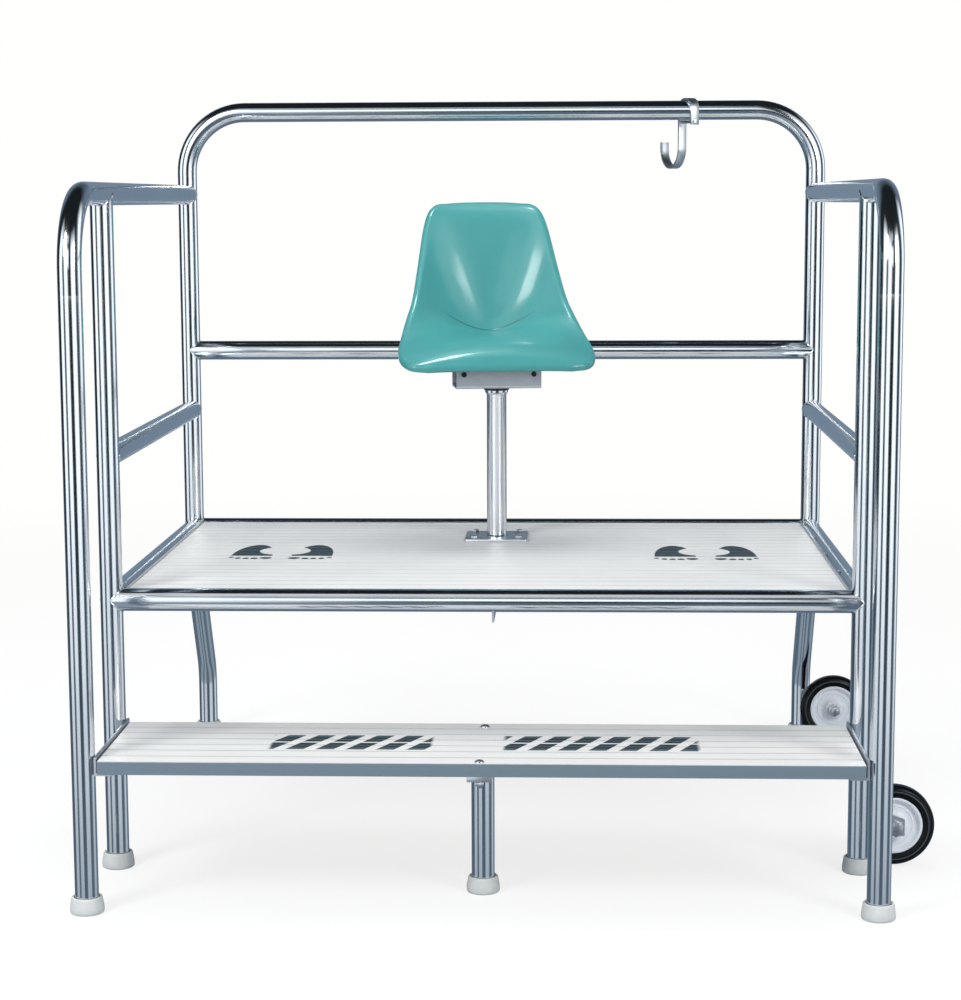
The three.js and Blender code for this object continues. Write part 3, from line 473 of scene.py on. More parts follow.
class TubeWalk:
    def __init__(self, start, heading):
        self.bm = bmesh.new()
        self.point = Vector(start)
        self.heading = Vector(heading)
        turn = self.heading.to_track_quat("Z", "Y").to_matrix().to_4x4()
        place = Matrix.Translation(self.point) @ turn
        bmesh.ops.create_circle(self.bm, segments=TUBE_SIDES, radius=TUBE_RADIUS, matrix=place)
        self.edges = self.bm.edges[:]
        bmesh.ops.edgeloop_fill(self.bm, edges=self.edges)

    def straight(self, length):
        made = bmesh.ops.extrude_edge_only(self.bm, edges=self.edges)["geom"]
        verts = of_kind(made, BMVert)
        bmesh.ops.translate(self.bm, verts=verts, vec=self.heading * length)
        ahead = set(verts)
        self.edges = [edge for edge in of_kind(made, BMEdge) if ahead.issuperset(edge.verts)]
        self.point += self.heading * length
        return self

    def bend(self, axis, degrees):
        angle = math.radians(degrees)
        centre = self.point + axis.cross(self.heading) * math.copysign(BEND, angle)
        made = bmesh.ops.spin(
            self.bm, geom=self.edges, cent=centre, axis=axis, angle=angle,
            steps=round(abs(degrees) / BEND_STEP), use_duplicate=False)
        self.edges = of_kind(made["geom_last"], BMEdge)
        turn = Matrix.Rotation(angle, 3, axis)
        self.point = centre + turn @ (self.point - centre)
        self.heading = turn @ self.heading
        return self

    def close(self):
        bmesh.ops.edgeloop_fill(self.bm, edges=self.edges)
        return self.bm


def tube_piece(node, walk):
    make_piece(walk.close(), node, "tube", POLISHED_TUBE)


# %% [markdown]
# ## The frame
#
# Each handrail is one tube from the floor up, round a bend and back to the rear hoop. The hoop's
# bow meets two uprights that kick back below the deck, which keeps the stand from tipping when the
# guard leans back. The straight rails stop at their neighbour's middle: the weld hides the end.

# %% Bend and set the tubes
SIDES = (("left", -1), ("right", 1))
SPAN = 0.800
FRONT_Y = -0.165
MIDDLE_Y = 0.160
HOOP_Y = 1.255
REAR_Y = 1.420
HANDRAIL_Z = 1.448
SIDE_RAIL_Z = 0.897
REAR_RAIL_Z = 1.050
DECK_TUBE_Z = 0.588
HOOP_Z = 1.655
TUBE_FOOT_Z = 0.0063
CROSS_BAR_UNDER_Z = 0.2797
KICK = 30
KICK_TOP_Z = 0.504
# The kick's two bends take up a part of how far it goes back and down, and a slope the rest
kick_back, kick_down = math.sin(math.radians(KICK)), math.cos(math.radians(KICK))
slope = (REAR_Y - HOOP_Y - 2 * BEND * (1 - kick_down)) / kick_back
drop = 2 * BEND * kick_back + slope * kick_down

for end, side in SIDES:
    x = side * SPAN
    handrail = TubeWalk((x, HOOP_Y, HANDRAIL_Z), -AXIS_Y).straight(HOOP_Y - FRONT_Y - BEND)
    handrail.bend(AXIS_X, 90).straight(HANDRAIL_Z - BEND - TUBE_FOOT_Z)
    tube_piece(f"handrail_{end}", handrail)

    leg = TubeWalk((x, MIDDLE_Y, TUBE_FOOT_Z), AXIS_Z).straight(HANDRAIL_Z - TUBE_FOOT_Z)
    tube_piece(f"middle_leg_{end}", leg)

    upright = TubeWalk((x, HOOP_Y, HOOP_Z - BEND), -AXIS_Z).straight(HOOP_Z - BEND - KICK_TOP_Z)
    upright.bend(AXIS_X, KICK).straight(slope).bend(AXIS_X, -KICK)
    tube_piece(f"rear_upright_{end}", upright.straight(KICK_TOP_Z - drop - TUBE_FOOT_Z))

    for node, z in ((f"side_mid_rail_{end}", SIDE_RAIL_Z), (f"deck_tube_{end}", DECK_TUBE_Z)):
        tube_piece(node, TubeWalk((x, MIDDLE_Y, z), AXIS_Y).straight(HOOP_Y - MIDDLE_Y))

bow = TubeWalk((-SPAN, HOOP_Y, HOOP_Z - BEND), AXIS_Z).bend(AXIS_Y, 90)
tube_piece("rear_bow", bow.straight(2 * (SPAN - BEND)).bend(AXIS_Y, 90))

for node, y, z in (
    ("rear_mid_rail", HOOP_Y, REAR_RAIL_Z),
    ("deck_tube_front", MIDDLE_Y, DECK_TUBE_Z),
    ("deck_tube_rear", HOOP_Y, DECK_TUBE_Z),
):
    tube_piece(node, TubeWalk((-SPAN, y, z), AXIS_X).straight(2 * SPAN))

leg = TubeWalk((0, 0, TUBE_FOOT_Z), AXIS_Z).straight(CROSS_BAR_UNDER_Z - TUBE_FOOT_Z)
tube_piece("step_leg", leg)

# %% [markdown]
# ## Weld beads
#
# Where two equal tubes meet at a right angle the joint is a saddle: two half ellipses that lie at
# forty-five degrees. A bead of weld runs along it, polished down until only a thin bright line is
# left. A curve with a round section follows the saddle, and all beads share one object.


# %% Lay the beads
BEAD_RADIUS = 0.0016


def saddle_points(centre, outwards, neighbour):
    beside = outwards.cross(neighbour)
    points = []
    for i in range(TUBE_SIDES):
        angle = math.tau * i / TUBE_SIDES
        points.append(
            centre
            + neighbour * (TUBE_RADIUS * math.cos(angle))
            + beside * (TUBE_RADIUS * math.sin(angle))
            + outwards * (TUBE_RADIUS * abs(math.cos(angle))))
    return points


def weld_beads(joints):
    curve = bpy.data.curves.new("weld_beads", "CURVE")
    curve.dimensions = "3D"
    curve.bevel_depth = BEAD_RADIUS
    curve.bevel_resolution = 2
    for centre, outwards, neighbour in joints:
        points = saddle_points(Vector(centre), outwards, neighbour)
        spline = curve.splines.new("POLY")
        spline.points.add(len(points) - 1)
        for place, point in zip(spline.points, points):
            place.co = (*point, 1)
        spline.use_cyclic_u = True
    curve.materials.append(POLISHED_TUBE)
    beads = bpy.data.objects.new("weld_beads", curve)
    bpy.context.scene.collection.objects.link(beads)
    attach(beads, "stand")


tube_joints = []
for _, side in SIDES:
    x = side * SPAN
    inwards = AXIS_X * -side
    tube_joints.append(((x, MIDDLE_Y, HANDRAIL_Z), -AXIS_Z, AXIS_Y))
    tube_joints.append(((x, HOOP_Y, HANDRAIL_Z), -AXIS_Y, AXIS_Z))
    for z in (SIDE_RAIL_Z, DECK_TUBE_Z):
        tube_joints.append(((x, MIDDLE_Y, z), AXIS_Y, AXIS_Z))
        tube_joints.append(((x, HOOP_Y, z), -AXIS_Y, AXIS_Z))
    for y, z in ((MIDDLE_Y, DECK_TUBE_Z), (HOOP_Y, DECK_TUBE_Z), (HOOP_Y, REAR_RAIL_Z)):
        tube_joints.append(((x, y, z), inwards, AXIS_Z))
weld_beads(tube_joints)

# %% [markdown]
# ## Turned parts
#
# Feet, wheels, the post's flare and the bush are all bodies of revolution. A profile is drawn as
# pairs of radius and height, joined by edges, and spun once round its axis; doubled points at the
# seam and on the axis are merged afterwards.


# %% Spin a profile
def spin_profile(bm, profile, origin, axis, steps=64):
    origin = Vector(origin)
    outwards = axis.orthogonal().normalized()
    verts = [bm.verts.new(origin + outwards * radius + axis * height) for radius, height in profile]
    edges = [bm.edges.new(pair) for pair in zip(verts, verts[1:])]
    bmesh.ops.spin(
        bm, geom=verts + edges, cent=origin, axis=axis, angle=math.tau, steps=steps,
        use_merge=True, use_duplicate=False)
    bmesh.ops.remove_doubles(bm, verts=bm.verts, dist=1e-6)
    return bm


def rounded(corners, radius, steps=4):
    """A profile with each inner corner replaced by a small arc, given as a quadratic curve."""
    points = [corners[0]]
    for before, corner, after in zip(corners, corners[1:], corners[2:]):
        here = Vector(corner)
        back, ahead = Vector(before) - here, Vector(after) - here
        near = here + back.normalized() * min(radius, back.length / 2.1)
        far = here + ahead.normalized() * min(radius, ahead.length / 2.1)
        for i in range(steps + 1):
            t = i / steps
            points.append(tuple(near * (1 - t) ** 2 + here * (2 * t * (1 - t)) + far * t**2))
    points.append(corners[-1])
    return points


# %% Rubber tips on the seven legs
FOOT_PROFILE = rounded([
    (0, 0), (0.0345, 0), (0.0350, 0.010), (0.0312, 0.034),
    (0.0256, 0.034), (0.0246, 0.0060), (0, 0.0060)], 0.0042)


def rubber_tip(node, x, y):
    bm = spin_profile(bmesh.new(), FOOT_PROFILE, (x, y, 0), AXIS_Z)
    make_piece(bm, node, "tip", CREAM_RUBBER)


for row, y in (("front", FRONT_Y), ("middle", MIDDLE_Y), ("rear", REAR_Y)):
    for end, side in SIDES:
        rubber_tip(f"foot_{row}_{end}", side * SPAN, y)
rubber_tip("foot_centre", 0, 0)

# %% [markdown]
# ## Planks
#
# An extrusion is drawn through a die, so its whole shape is one outline. The outline goes in as a
# single face, with a groove between each flute and the next, ribs below and rounded noses, and one
# extrude along the length makes the plank.


# %% Push a face out
def push_out(bm, face, direction):
    """Extrude a face and give back the one that moved."""
    made = bmesh.ops.extrude_face_region(bm, geom=[face])["geom"]
    bmesh.ops.translate(bm, verts=of_kind(made, BMVert), vec=direction)
    return of_kind(made, BMFace)[0]


def extrude_outline(outline, place, direction):
    """A closed outline of pairs, set by place in a plane, then extruded by direction."""
    bm = bmesh.new()
    face = bm.faces.new([bm.verts.new(place(first, second)) for first, second in outline])
    push_out(bm, face, direction)
    return bm


# %% Draw a plank through its die
PLANK_HEIGHT = 0.027
PLANK_SKIN = 0.003
PLANK_RIB = 0.003
# Pairs of how far in and how far down: a plank's rounded nose, and half a groove from its middle
NOSE = [(0, 0.0016), (0.0005, 0.0005), (0.0016, 0)]
GROOVE = [(0.0020, 0), (0.0012, 0.0004), (0.0009, 0.0014)]


def plank_outline(depth, flutes):
    under = PLANK_HEIGHT - PLANK_SKIN
    points = [(0, 0), (PLANK_RIB, 0), (PLANK_RIB, under)]
    for share in (1 / 3, 2 / 3):
        front = share * depth - PLANK_RIB / 2
        points += [(front, under), (front, 0), (front + PLANK_RIB, 0), (front + PLANK_RIB, under)]
    points += [(depth - PLANK_RIB, under), (depth - PLANK_RIB, 0), (depth, 0)]
    points += [(depth - inwards, PLANK_HEIGHT - down) for inwards, down in NOSE]
    for groove in range(flutes - 1, 0, -1):
        middle = groove / flutes * depth
        points += [(middle + beside, PLANK_HEIGHT - down) for beside, down in GROOVE]
        points += [(middle - beside, PLANK_HEIGHT - down) for beside, down in reversed(GROOVE)]
    points += [(inwards, PLANK_HEIGHT - down) for inwards, down in reversed(NOSE)]
    return points


def plank(node, front_y, depth, flutes, half_length, top_z, material):
    bm = extrude_outline(
        plank_outline(depth, flutes),
        lambda y, z: (-half_length, front_y + y, top_z - PLANK_HEIGHT + z),
        AXIS_X * (2 * half_length))
    make_piece(bm, node, "board", material, sharp=20.0)


DECK_FRONT_Y = 0.20313
DECK_PLANK = 0.254
DECK_GAP = 0.0015
for i in range(4):
    front_y = DECK_FRONT_Y + i * (DECK_PLANK + DECK_GAP)
    plank(f"deck_plank_{i + 1}", front_y, DECK_PLANK, 5, 0.770, DECK_TOP, DECK_MARKED)
plank("step_plank", STEP_FRONT_Y, 0.3556, 7, 0.767, STEP_TOP, STEP_MARKED)

# %% [markdown]
# ## Ledges, stringer and cross bar
#
# The planks' ends lie on angle bars that are stitch-welded to the side tubes. Short beads fill the
# groove between angle and tube every quarter of a metre. The angle is an L-shaped outline with a
# rounded inner corner, extruded along the side.


# %% Angle bars with stitch welds
def arc(centre_x, centre_y, radius, start, turn, steps):
    """Points of an arc from start on, through turn, both in degrees."""
    angles = [math.radians(start + turn * i / steps) for i in range(steps + 1)]
    return [(centre_x + radius * math.cos(a), centre_y + radius * math.sin(a)) for a in angles]


ANGLE_LEG = 0.0381
ANGLE_THICK = 0.00476
ANGLE_OUTLINE = [
    (0, 0), (ANGLE_LEG, 0), (ANGLE_LEG, ANGLE_THICK - 0.001), (ANGLE_LEG - 0.001, ANGLE_THICK),
    *arc(ANGLE_THICK + 0.003, ANGLE_THICK + 0.003, 0.003, -90, -90, 3),
    (ANGLE_THICK, ANGLE_LEG - 0.001), (ANGLE_THICK - 0.001, ANGLE_LEG), (0, ANGLE_LEG)]
FIT = 0.0003
LEDGE_X = SPAN - TUBE_RADIUS - FIT
STITCH_SIZE = (0.0042, 0.0085, 0.0036, 1)
STITCH_INSET = 0.007

for end, side in SIDES:
    for node, from_y, to_y, under_z, stitches in (
        (f"deck_ledge_{end}", 0.18443, 1.23057, DECK_TOP - PLANK_HEIGHT, 5),
        (f"step_ledge_{end}", -0.182, 0.17413, STEP_TOP - PLANK_HEIGHT, 0),
    ):
        bm = extrude_outline(
            ANGLE_OUTLINE,
            lambda out, up: (side * (LEDGE_X - out), from_y, under_z - ANGLE_THICK - FIT + up),
            AXIS_Y * (to_y - from_y))
        for i in range(stitches):
            y = from_y + STITCH_INSET
            y += i * (to_y - from_y - 2 * STITCH_INSET) / (stitches - 1)
            place = Matrix.Translation((side * (LEDGE_X + 0.0035), y, under_z + 0.0292))
            place = place @ Matrix.Diagonal(STITCH_SIZE)
            bmesh.ops.create_uvsphere(bm, u_segments=16, v_segments=10, radius=1, matrix=place)
        make_piece(bm, node, "bar", SATIN_PLATE)


# %% Stringer below the deck and cross bar below the step
def soften(bm, edges, width, segments=2):
    bmesh.ops.bevel(
        bm, geom=edges, offset=width, segments=segments, profile=0.5, affect="EDGES", material=-1)


def box_over(node):
    low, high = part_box(node)
    bm = bmesh.new()
    place = Matrix.Translation((low + high) / 2) @ Matrix.Diagonal((*(high - low), 1))
    bmesh.ops.create_cube(bm, size=1, matrix=place)
    return bm


bm = box_over("step_cross_bar")
soften(bm, bm.edges[:], 0.0012)
make_piece(bm, "step_cross_bar", "flat", SATIN_PLATE)
paint_node(SATIN_PLATE, "deck_stringer")

# %% [markdown]
# ## Bolts
#
# Fasteners are small, but each is a place where light catches. A hexagon gets a turned chamfer on
# its top, a dome head is a spun profile, and both sit on the solid's own place.


# %% Heads, nuts and shanks
def prism(bm, sides, radius, start, axis, length, chamfer=0.0):
    turn = axis.to_track_quat("Z", "Y").to_matrix().to_4x4()
    place = Matrix.Translation(Vector(start) + axis * (length / 2)) @ turn
    made = bmesh.ops.create_cone(
        bm, segments=sides, radius1=radius, radius2=radius, depth=length, cap_ends=True,
        matrix=place)
    if chamfer:
        mine = set(made["verts"])
        caps = [f for f in bm.faces if len(f.verts) == sides and mine.issuperset(f.verts)]
        soften(bm, list({edge for cap in caps for edge in cap.edges}), chamfer)
    return bm


def hexagon(bm, flats, start, axis, length):
    return prism(bm, 6, flats / 2 / math.cos(math.pi / 6), start, axis, length, length * 0.12)


def bolt_piece(bm, node, body="stand", material=ZINC_FASTENER):
    make_piece(bm, node, "screw", material, body)


# %% Bolts through the step and through the post's plate
PLATE_TOP = 0.6126
SHANK_RADIUS = 0.00476
NUT_HEIGHT = 0.008
BASE_BOLT_FLATS = 0.0143
DOME_HEAD = [
    (0, 0.0053), (0.004, 0.0050), (0.0075, 0.0036), (0.0095, 0.0012), (0.0098, 0.0003),
    (0, 0.0003)]


def down_bolt(node, make_head, flats, top_z, nut_z):
    """A head on top_z, a nut below nut_z and a shank from the head down to the solid's end."""
    low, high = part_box(node)
    x, y = (low.x + high.x) / 2, (low.y + high.y) / 2
    bm = make_head((x, y, top_z))
    hexagon(bm, flats, (x, y, nut_z), -AXIS_Z, NUT_HEIGHT)
    prism(bm, 24, SHANK_RADIUS, (x, y, top_z), -AXIS_Z, top_z - low.z, 0.0006)
    bolt_piece(bm, node)


def dome_head(start):
    return spin_profile(bmesh.new(), DOME_HEAD, start, AXIS_Z, 40)


def hexagon_head(start):
    return hexagon(bmesh.new(), BASE_BOLT_FLATS, start, AXIS_Z, 0.006)


for i in (1, 2):
    down_bolt(f"step_bolt_{i}", dome_head, 0.017, STEP_TOP, CROSS_BAR_UNDER_Z)
nut_z = DECK_TOP - PLANK_SKIN - FIT
for i in (1, 2, 3, 4):
    down_bolt(f"base_bolt_{i}", hexagon_head, BASE_BOLT_FLATS, PLATE_TOP, nut_z)

# %% [markdown]
# ## The seat's post and swivel
#
# The post is plain tube, flared a little at the top where the black bush drops in. It stands on a
# square plate with rounded corners, with a bead of weld round its foot.

# %% Post, plate and bush
POST_Y = 0.955
low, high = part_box("seat_post")
rise = high.z - low.z
post_profile = [
    (0, 0), (TUBE_RADIUS + 0.0022, 0), (TUBE_RADIUS + 0.0012, 0.0016), (TUBE_RADIUS, 0.0026),
    (TUBE_RADIUS, rise - 0.0110), (TUBE_RADIUS + 0.0016, rise - 0.0080),
    (0.0283, rise - 0.0052), (0.0285, rise - 0.0006), (0.0279, rise),
    (0.0215, rise), (0.0209, rise - 0.020), (0, rise - 0.020)]
bm = spin_profile(bmesh.new(), post_profile, (0, POST_Y, low.z), AXIS_Z)
make_piece(bm, "seat_post", "tube", POLISHED_TUBE)

bm = box_over("post_base_plate")
upright = [edge for edge in bm.edges if abs(edge.verts[0].co.z - edge.verts[1].co.z) > 0.001]
soften(bm, upright, 0.006, 5)
rims = [edge for edge in bm.edges if edge.is_manifold and edge.calc_face_angle() > 1.3]
soften(bm, rims, 0.0008)
make_piece(bm, "post_base_plate", "sheet", SATIN_PLATE)

low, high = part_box("swivel_bushing")
flange_z = high.z - 0.0064
bush_profile = rounded([
    (0.0162, low.z), (0.0203, low.z), (0.0203, flange_z), (0.0310, flange_z), (0.0310, high.z),
    (0.0162, high.z)], 0.0009, 3)
bm = spin_profile(bmesh.new(), bush_profile + bush_profile[:1], (0, POST_Y, 0), AXIS_Z)
make_piece(bm, "swivel_bushing", "ring", BLACK_NYLON)
paint_node(ZINC_FASTENER, "seat_spindle")

# %% [markdown]
# ## The bracket
#
# A length of channel, open at both ends, holds the seat. Its outline is a U with rounded bends, so
# it is extruded like the planks and then turned eight degrees with the seat.

# %% Channel, block and through bolts
SEAT_TURN = math.radians(8)
SEAT_PLACE = Matrix.Translation((0, POST_Y, 0)) @ Matrix.Rotation(SEAT_TURN, 4, "Z")
BRACKET_Z = 0.979
BRACKET_HALF = 0.1035
BOLT_X = 0.085
BOLT_Z = BRACKET_Z + 0.035
# Where the channel's side ends and the bolt's head begins
HEAD_Y = 0.0578
SOCKET_HEAD = [
    (0, 0), (0.0065, 0), (0.0065, 0.0028), (0.0053, 0.0040), (0.0026, 0.0040),
    (0.0026, 0.0006), (0, 0.0006)]


def channel_outline(depth, height, sheet, inner):
    half, outer = depth / 2, inner + sheet
    return [
        (-half, height),
        *arc(-half + outer, outer, outer, 180, 90, 5),
        *arc(half - outer, outer, outer, 270, 90, 5),
        (half, height),
        (half - sheet, height),
        *arc(half - outer, outer, inner, 0, -90, 5),
        *arc(-half + outer, outer, inner, -90, -90, 5),
        (-half + sheet, height)]


bm = extrude_outline(
    channel_outline(0.115, 0.062, 0.005, 0.002),
    lambda y, z: (-BRACKET_HALF, y, BRACKET_Z + z),
    AXIS_X * (2 * BRACKET_HALF))
bmesh.ops.transform(bm, matrix=SEAT_PLACE, verts=bm.verts)
make_piece(bm, "seat_bracket", "channel", SATIN_PLATE, "seat")

for i, side in ((1, -1), (2, 1)):
    bm = bmesh.new()
    for way in (-1, 1):
        start = (side * BOLT_X, way * HEAD_Y, BOLT_Z)
        spin_profile(bm, SOCKET_HEAD, start, AXIS_Y * way, 32)
    prism(bm, 24, 0.0040, (side * BOLT_X, -HEAD_Y, BOLT_Z), AXIS_Y, 0.1236)
    bmesh.ops.transform(bm, matrix=SEAT_PLACE, verts=bm.verts)
    bolt_piece(bm, f"bracket_bolt_{i}", "seat", BLACK_NYLON)
paint_node(SEALED_BOARD, "seat_block")

# %% [markdown]
# ## The seat shell
#
# The shell is one curved sheet: a dished pan that turns up into a back, with a crease between them
# that fades out towards the sides. A flat grid is the simplest start. Each of its points is moved
# to a place between the middle line and the rim, given by a table of stations from the front lip
# to the top, in shares of the shell's depth, height and half width. The rim is then extruded over
# in small steps, and Solidify and a subdivision surface give the wall and the smooth finish.

# %% Stations of the shell
LIP_Y = -0.168
LIP_Z = 1.045
SEAT_OFFSET = -0.008
SEAT_DEPTH = 0.383
SEAT_HEIGHT = 0.377
SEAT_HALF_WIDTH = 0.229
# How the sheet rises from the middle to the rim: flatter in the middle where it is open
OPEN_CURVE = 2.1
CREASE_CURVE = 1.65
CREASE_SPREAD = 0.25
# Middle back and up, then rim out, back and up
PAN_SHARES = [
    (0.000, 0.000, 0.760, 0.014, 0.000),
    (0.020, 0.050, 0.890, 0.034, 0.008),
    (0.060, 0.095, 0.960, 0.088, 0.026),
    (0.130, 0.130, 0.995, 0.165, 0.055),
    (0.240, 0.150, 0.988, 0.270, 0.105),
    (0.400, 0.160, 0.930, 0.390, 0.172),
    (0.580, 0.163, 0.850, 0.510, 0.260),
    (0.700, 0.165, 0.780, 0.590, 0.345),
    (0.738, 0.175, 0.742, 0.645, 0.425),
]
BACK_SHARES = [
    (0.738, 0.175, 0.742, 0.645, 0.425),
    (0.772, 0.258, 0.708, 0.700, 0.523),
    (0.806, 0.395, 0.672, 0.760, 0.638),
    (0.836, 0.545, 0.640, 0.812, 0.752),
    (0.866, 0.705, 0.605, 0.860, 0.862),
    (0.896, 0.850, 0.560, 0.900, 0.945),
    (0.930, 0.950, 0.490, 0.935, 0.988),
    (0.965, 1.000, 0.400, 0.960, 1.000),
]
CREASE_AT = (len(PAN_SHARES) - 1) / (len(PAN_SHARES) + len(BACK_SHARES) - 2)
print("the crease lies at", round(CREASE_AT, 3), "of the way from the lip to the top")


# %% From a share of the sheet to a place
def along_stations(stations, t, first, last):
    """Numbers first to last of the stations, on a smooth curve through them, at t from 0 to 1."""
    place = t * (len(stations) - 1)
    i = min(int(place), len(stations) - 2)
    t = place - i
    near = [min(max(i + step, 0), len(stations) - 1) for step in (-1, 0, 1, 2)]
    rows = [stations[row][first:last] for row in near]
    if i == 0:
        rows[0] = [2 * a - b for a, b in zip(rows[1], rows[2])]
    if i == len(stations) - 2:
        rows[3] = [2 * b - a for a, b in zip(rows[1], rows[2])]
    return [
        b + 0.5 * t * (c - a + t * (2 * a - 5 * b + 4 * c - d + t * (3 * (b - c) + d - a)))
        for a, b, c, d in zip(*rows)]


def shell_point(u, v):
    if v <= CREASE_AT:
        back, up = along_stations(PAN_SHARES, v / CREASE_AT, 0, 2)
    else:
        back, up = along_stations(BACK_SHARES, (v - CREASE_AT) / (1 - CREASE_AT), 0, 2)
    out, rim_back, rim_up = along_stations(PAN_SHARES + BACK_SHARES[1:], v, 2, 5)
    near_crease = max(0.0, 1 - abs(v - CREASE_AT) / CREASE_SPREAD)
    rise = abs(u) ** (OPEN_CURVE + (CREASE_CURVE - OPEN_CURVE) * near_crease)
    back += (rim_back - back) * rise
    up += (rim_up - up) * rise
    return Vector((
        u * out * SEAT_HALF_WIDTH + SEAT_OFFSET,
        LIP_Y + back * SEAT_DEPTH,
        LIP_Z + up * SEAT_HEIGHT))


# %% Grid, crease and rolled rim
SHELL_COLUMNS = 28
SHELL_ROWS = 45
CREASE_REACH = 0.62
ROLL_RADIUS = 0.013
ROLL_STEPS = 5
ROLL_TURN = math.radians(100)


def shell_grid():
    bm = bmesh.new()
    bmesh.ops.create_grid(bm, x_segments=SHELL_COLUMNS, y_segments=SHELL_ROWS, size=1)
    crease = bm.edges.layers.float.new("crease_edge")
    crease_row = round(CREASE_AT * SHELL_ROWS)
    for edge in bm.edges:
        rows = [(vert.co.y + 1) / 2 * SHELL_ROWS for vert in edge.verts]
        if all(abs(row - crease_row) < 0.1 for row in rows):
            beside = abs(edge.verts[0].co.x + edge.verts[1].co.x) / 2
            edge[crease] = max(0.0, 0.85 * (1 - (beside / CREASE_REACH) ** 2))
    for vert in bm.verts:
        vert.co = shell_point(vert.co.x, (vert.co.y + 1) / 2)
    bmesh.ops.recalc_face_normals(bm, faces=bm.faces)
    bm.normal_update()
    if sum(face.normal.z for face in bm.faces) < 0:
        bmesh.ops.reverse_faces(bm, faces=bm.faces)
        bm.normal_update()
    return bm


def rim_frames(bm):
    """Each point of the border with its place, the way out over the rim and the way down."""
    frames = {}
    for vert in bm.verts:
        if not vert.is_boundary:
            continue
        ends = [edge.other_vert(vert) for edge in vert.link_edges if edge.is_boundary]
        along = (ends[0].co - ends[1].co).normalized()
        out = along.cross(vert.normal).normalized()
        middles = [face.calc_center_median() for face in vert.link_faces]
        if out.dot(vert.co - sum(middles, Vector()) / len(middles)) < 0:
            out = -out
        frames[vert] = (vert.co.copy(), out, -vert.normal.copy())
    return frames


def roll_rim(bm):
    frames = rim_frames(bm)
    for step in range(1, ROLL_STEPS + 1):
        angle = ROLL_TURN * step / ROLL_STEPS
        out_by, down_by = ROLL_RADIUS * math.sin(angle), ROLL_RADIUS * (1 - math.cos(angle))
        border = [edge for edge in bm.edges if edge.is_boundary]
        made = bmesh.ops.extrude_edge_only(bm, edges=border)["geom"]
        moved = {}
        for vert in of_kind(made, BMVert):
            others = [edge.other_vert(vert) for edge in vert.link_edges]
            moved[vert] = next(frames[other] for other in others if other in frames)
            place, out, down = moved[vert]
            vert.co = place + out * out_by + down * down_by
        frames = moved
    return bm


# %% [markdown]
# ## Gel coat
#
# Such a shell is laid up by hand in a mould: a coloured gel coat with a clear gloss over it and a
# faint mottle where the fibres lie close. The crease is too fine for the mesh alone, so the finish
# paints shade on a thin line along it and dents it there, following the curve that bends the sheet.

# %% The crease's line and the gel coat
# Where the crease lies in the middle, and how far out, forward and up its ends are from there
CREASE_Y, CREASE_Z = 0.1147, 1.1110
CREASE_OUT, CREASE_FORWARD, CREASE_UP = 0.170, 0.0356, 0.0943


def crease_line(x, y, z):
    """1 on the crease, fading out towards the sides."""
    sine, cosine = math.sin(SEAT_TURN), math.cos(SEAT_TURN)
    off_post = y - POST_Y
    across = x * cosine + off_post * sine
    along = off_post * cosine - x * sine
    beside = ((across - SEAT_OFFSET) / CREASE_OUT).size()
    swept = beside.maths("POWER", CREASE_CURVE)
    off_y = along - (CREASE_Y - swept * CREASE_FORWARD)
    off_z = z - (CREASE_Z + swept * CREASE_UP)
    line = z.finish.graded(off_y.length_with(off_z), 0.0008, 0.0030, 1.0, 0.0)
    return line * z.finish.graded(beside, 0.40, 0.72, 1.0, 0.0)


def gel_coat():
    material, finish = new_finish(
        "turquoise_gel_coat", Specular_IOR_Level=0.3, Coat_Weight=0.5, Coat_Roughness=0.11)
    where, parts = finish.places()
    mottle = finish.noise(where, 34.0, 6.0)
    broad = finish.noise(where, 6.0)
    ripple = finish.noise(where, 11.0, 2.0)
    crease = crease_line(*parts)
    plain = finish.between(
        mottle * 0.5 + broad * 0.5, rgba(0.040, 0.250, 0.250), rgba(0.060, 0.310, 0.305))
    return dress(
        material,
        # The thin dark line along the crease is painted shade
        Base_Color=finish.between(crease * 0.75, plain, rgba(0.010, 0.090, 0.095)),
        Roughness=0.36 + mottle * 0.10,
        Normal=finish.bump(ripple - crease * 1.2, 0.0012, 0.35))


# %% The shell with its wall
bm = roll_rim(shell_grid())
bmesh.ops.transform(bm, matrix=SEAT_PLACE, verts=bm.verts)
shell = new_object(bm, "seat_shell_moulding", gel_coat())
wall = shell.modifiers.new("wall", "SOLIDIFY")
wall.thickness = 0.004
wall.offset = -1
smooth = shell.modifiers.new("smooth", "SUBSURF")
smooth.levels = 2
smooth.render_levels = 2
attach(shell, "seat")
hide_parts("seat_shell")
print("seat_shell_moulding:", len(shell.data.polygons), "faces before subdivision")

# %% [markdown]
# ## Wheels
#
# Each wheel is a solid black tyre on a white nylon hub. The tyre has a flat tread, round shoulders
# and a thin moulded ridge on its wall. A thin grey arc on the ridge is a painted highlight, which
# the finish finds by its distance from the axle. The hub's face is recessed, with a raised ring and
# a boss round the axle.

# %% Tyre rubber
WHEEL_X = 0.881
WHEEL_Z = 0.0895
RIDGE_RADIUS = 0.0748


def tyre_rubber():
    material, finish = new_finish("tyre_rubber", Specular_IOR_Level=0.15)
    where, (x, _, z) = finish.places()
    speckle = finish.noise(where, 90.0, 5.0)
    off_ridge = ((x - WHEEL_X).length_with(z - WHEEL_Z) - RIDGE_RADIUS).size()
    # The grey ring on the ridge is a painted highlight
    painted_ridge_highlight = finish.graded(off_ridge, 0.0008, 0.0018, 0.85, 0.0)
    black = finish.between(speckle, rgba(0.002, 0.003, 0.003), rgba(0.006, 0.008, 0.009))
    return dress(
        material,
        Base_Color=finish.between(painted_ridge_highlight, black, rgba(0.075, 0.095, 0.105)),
        Roughness=0.22 + speckle * 0.12,
        Normal=finish.bump(speckle, 0.0002, 0.3))


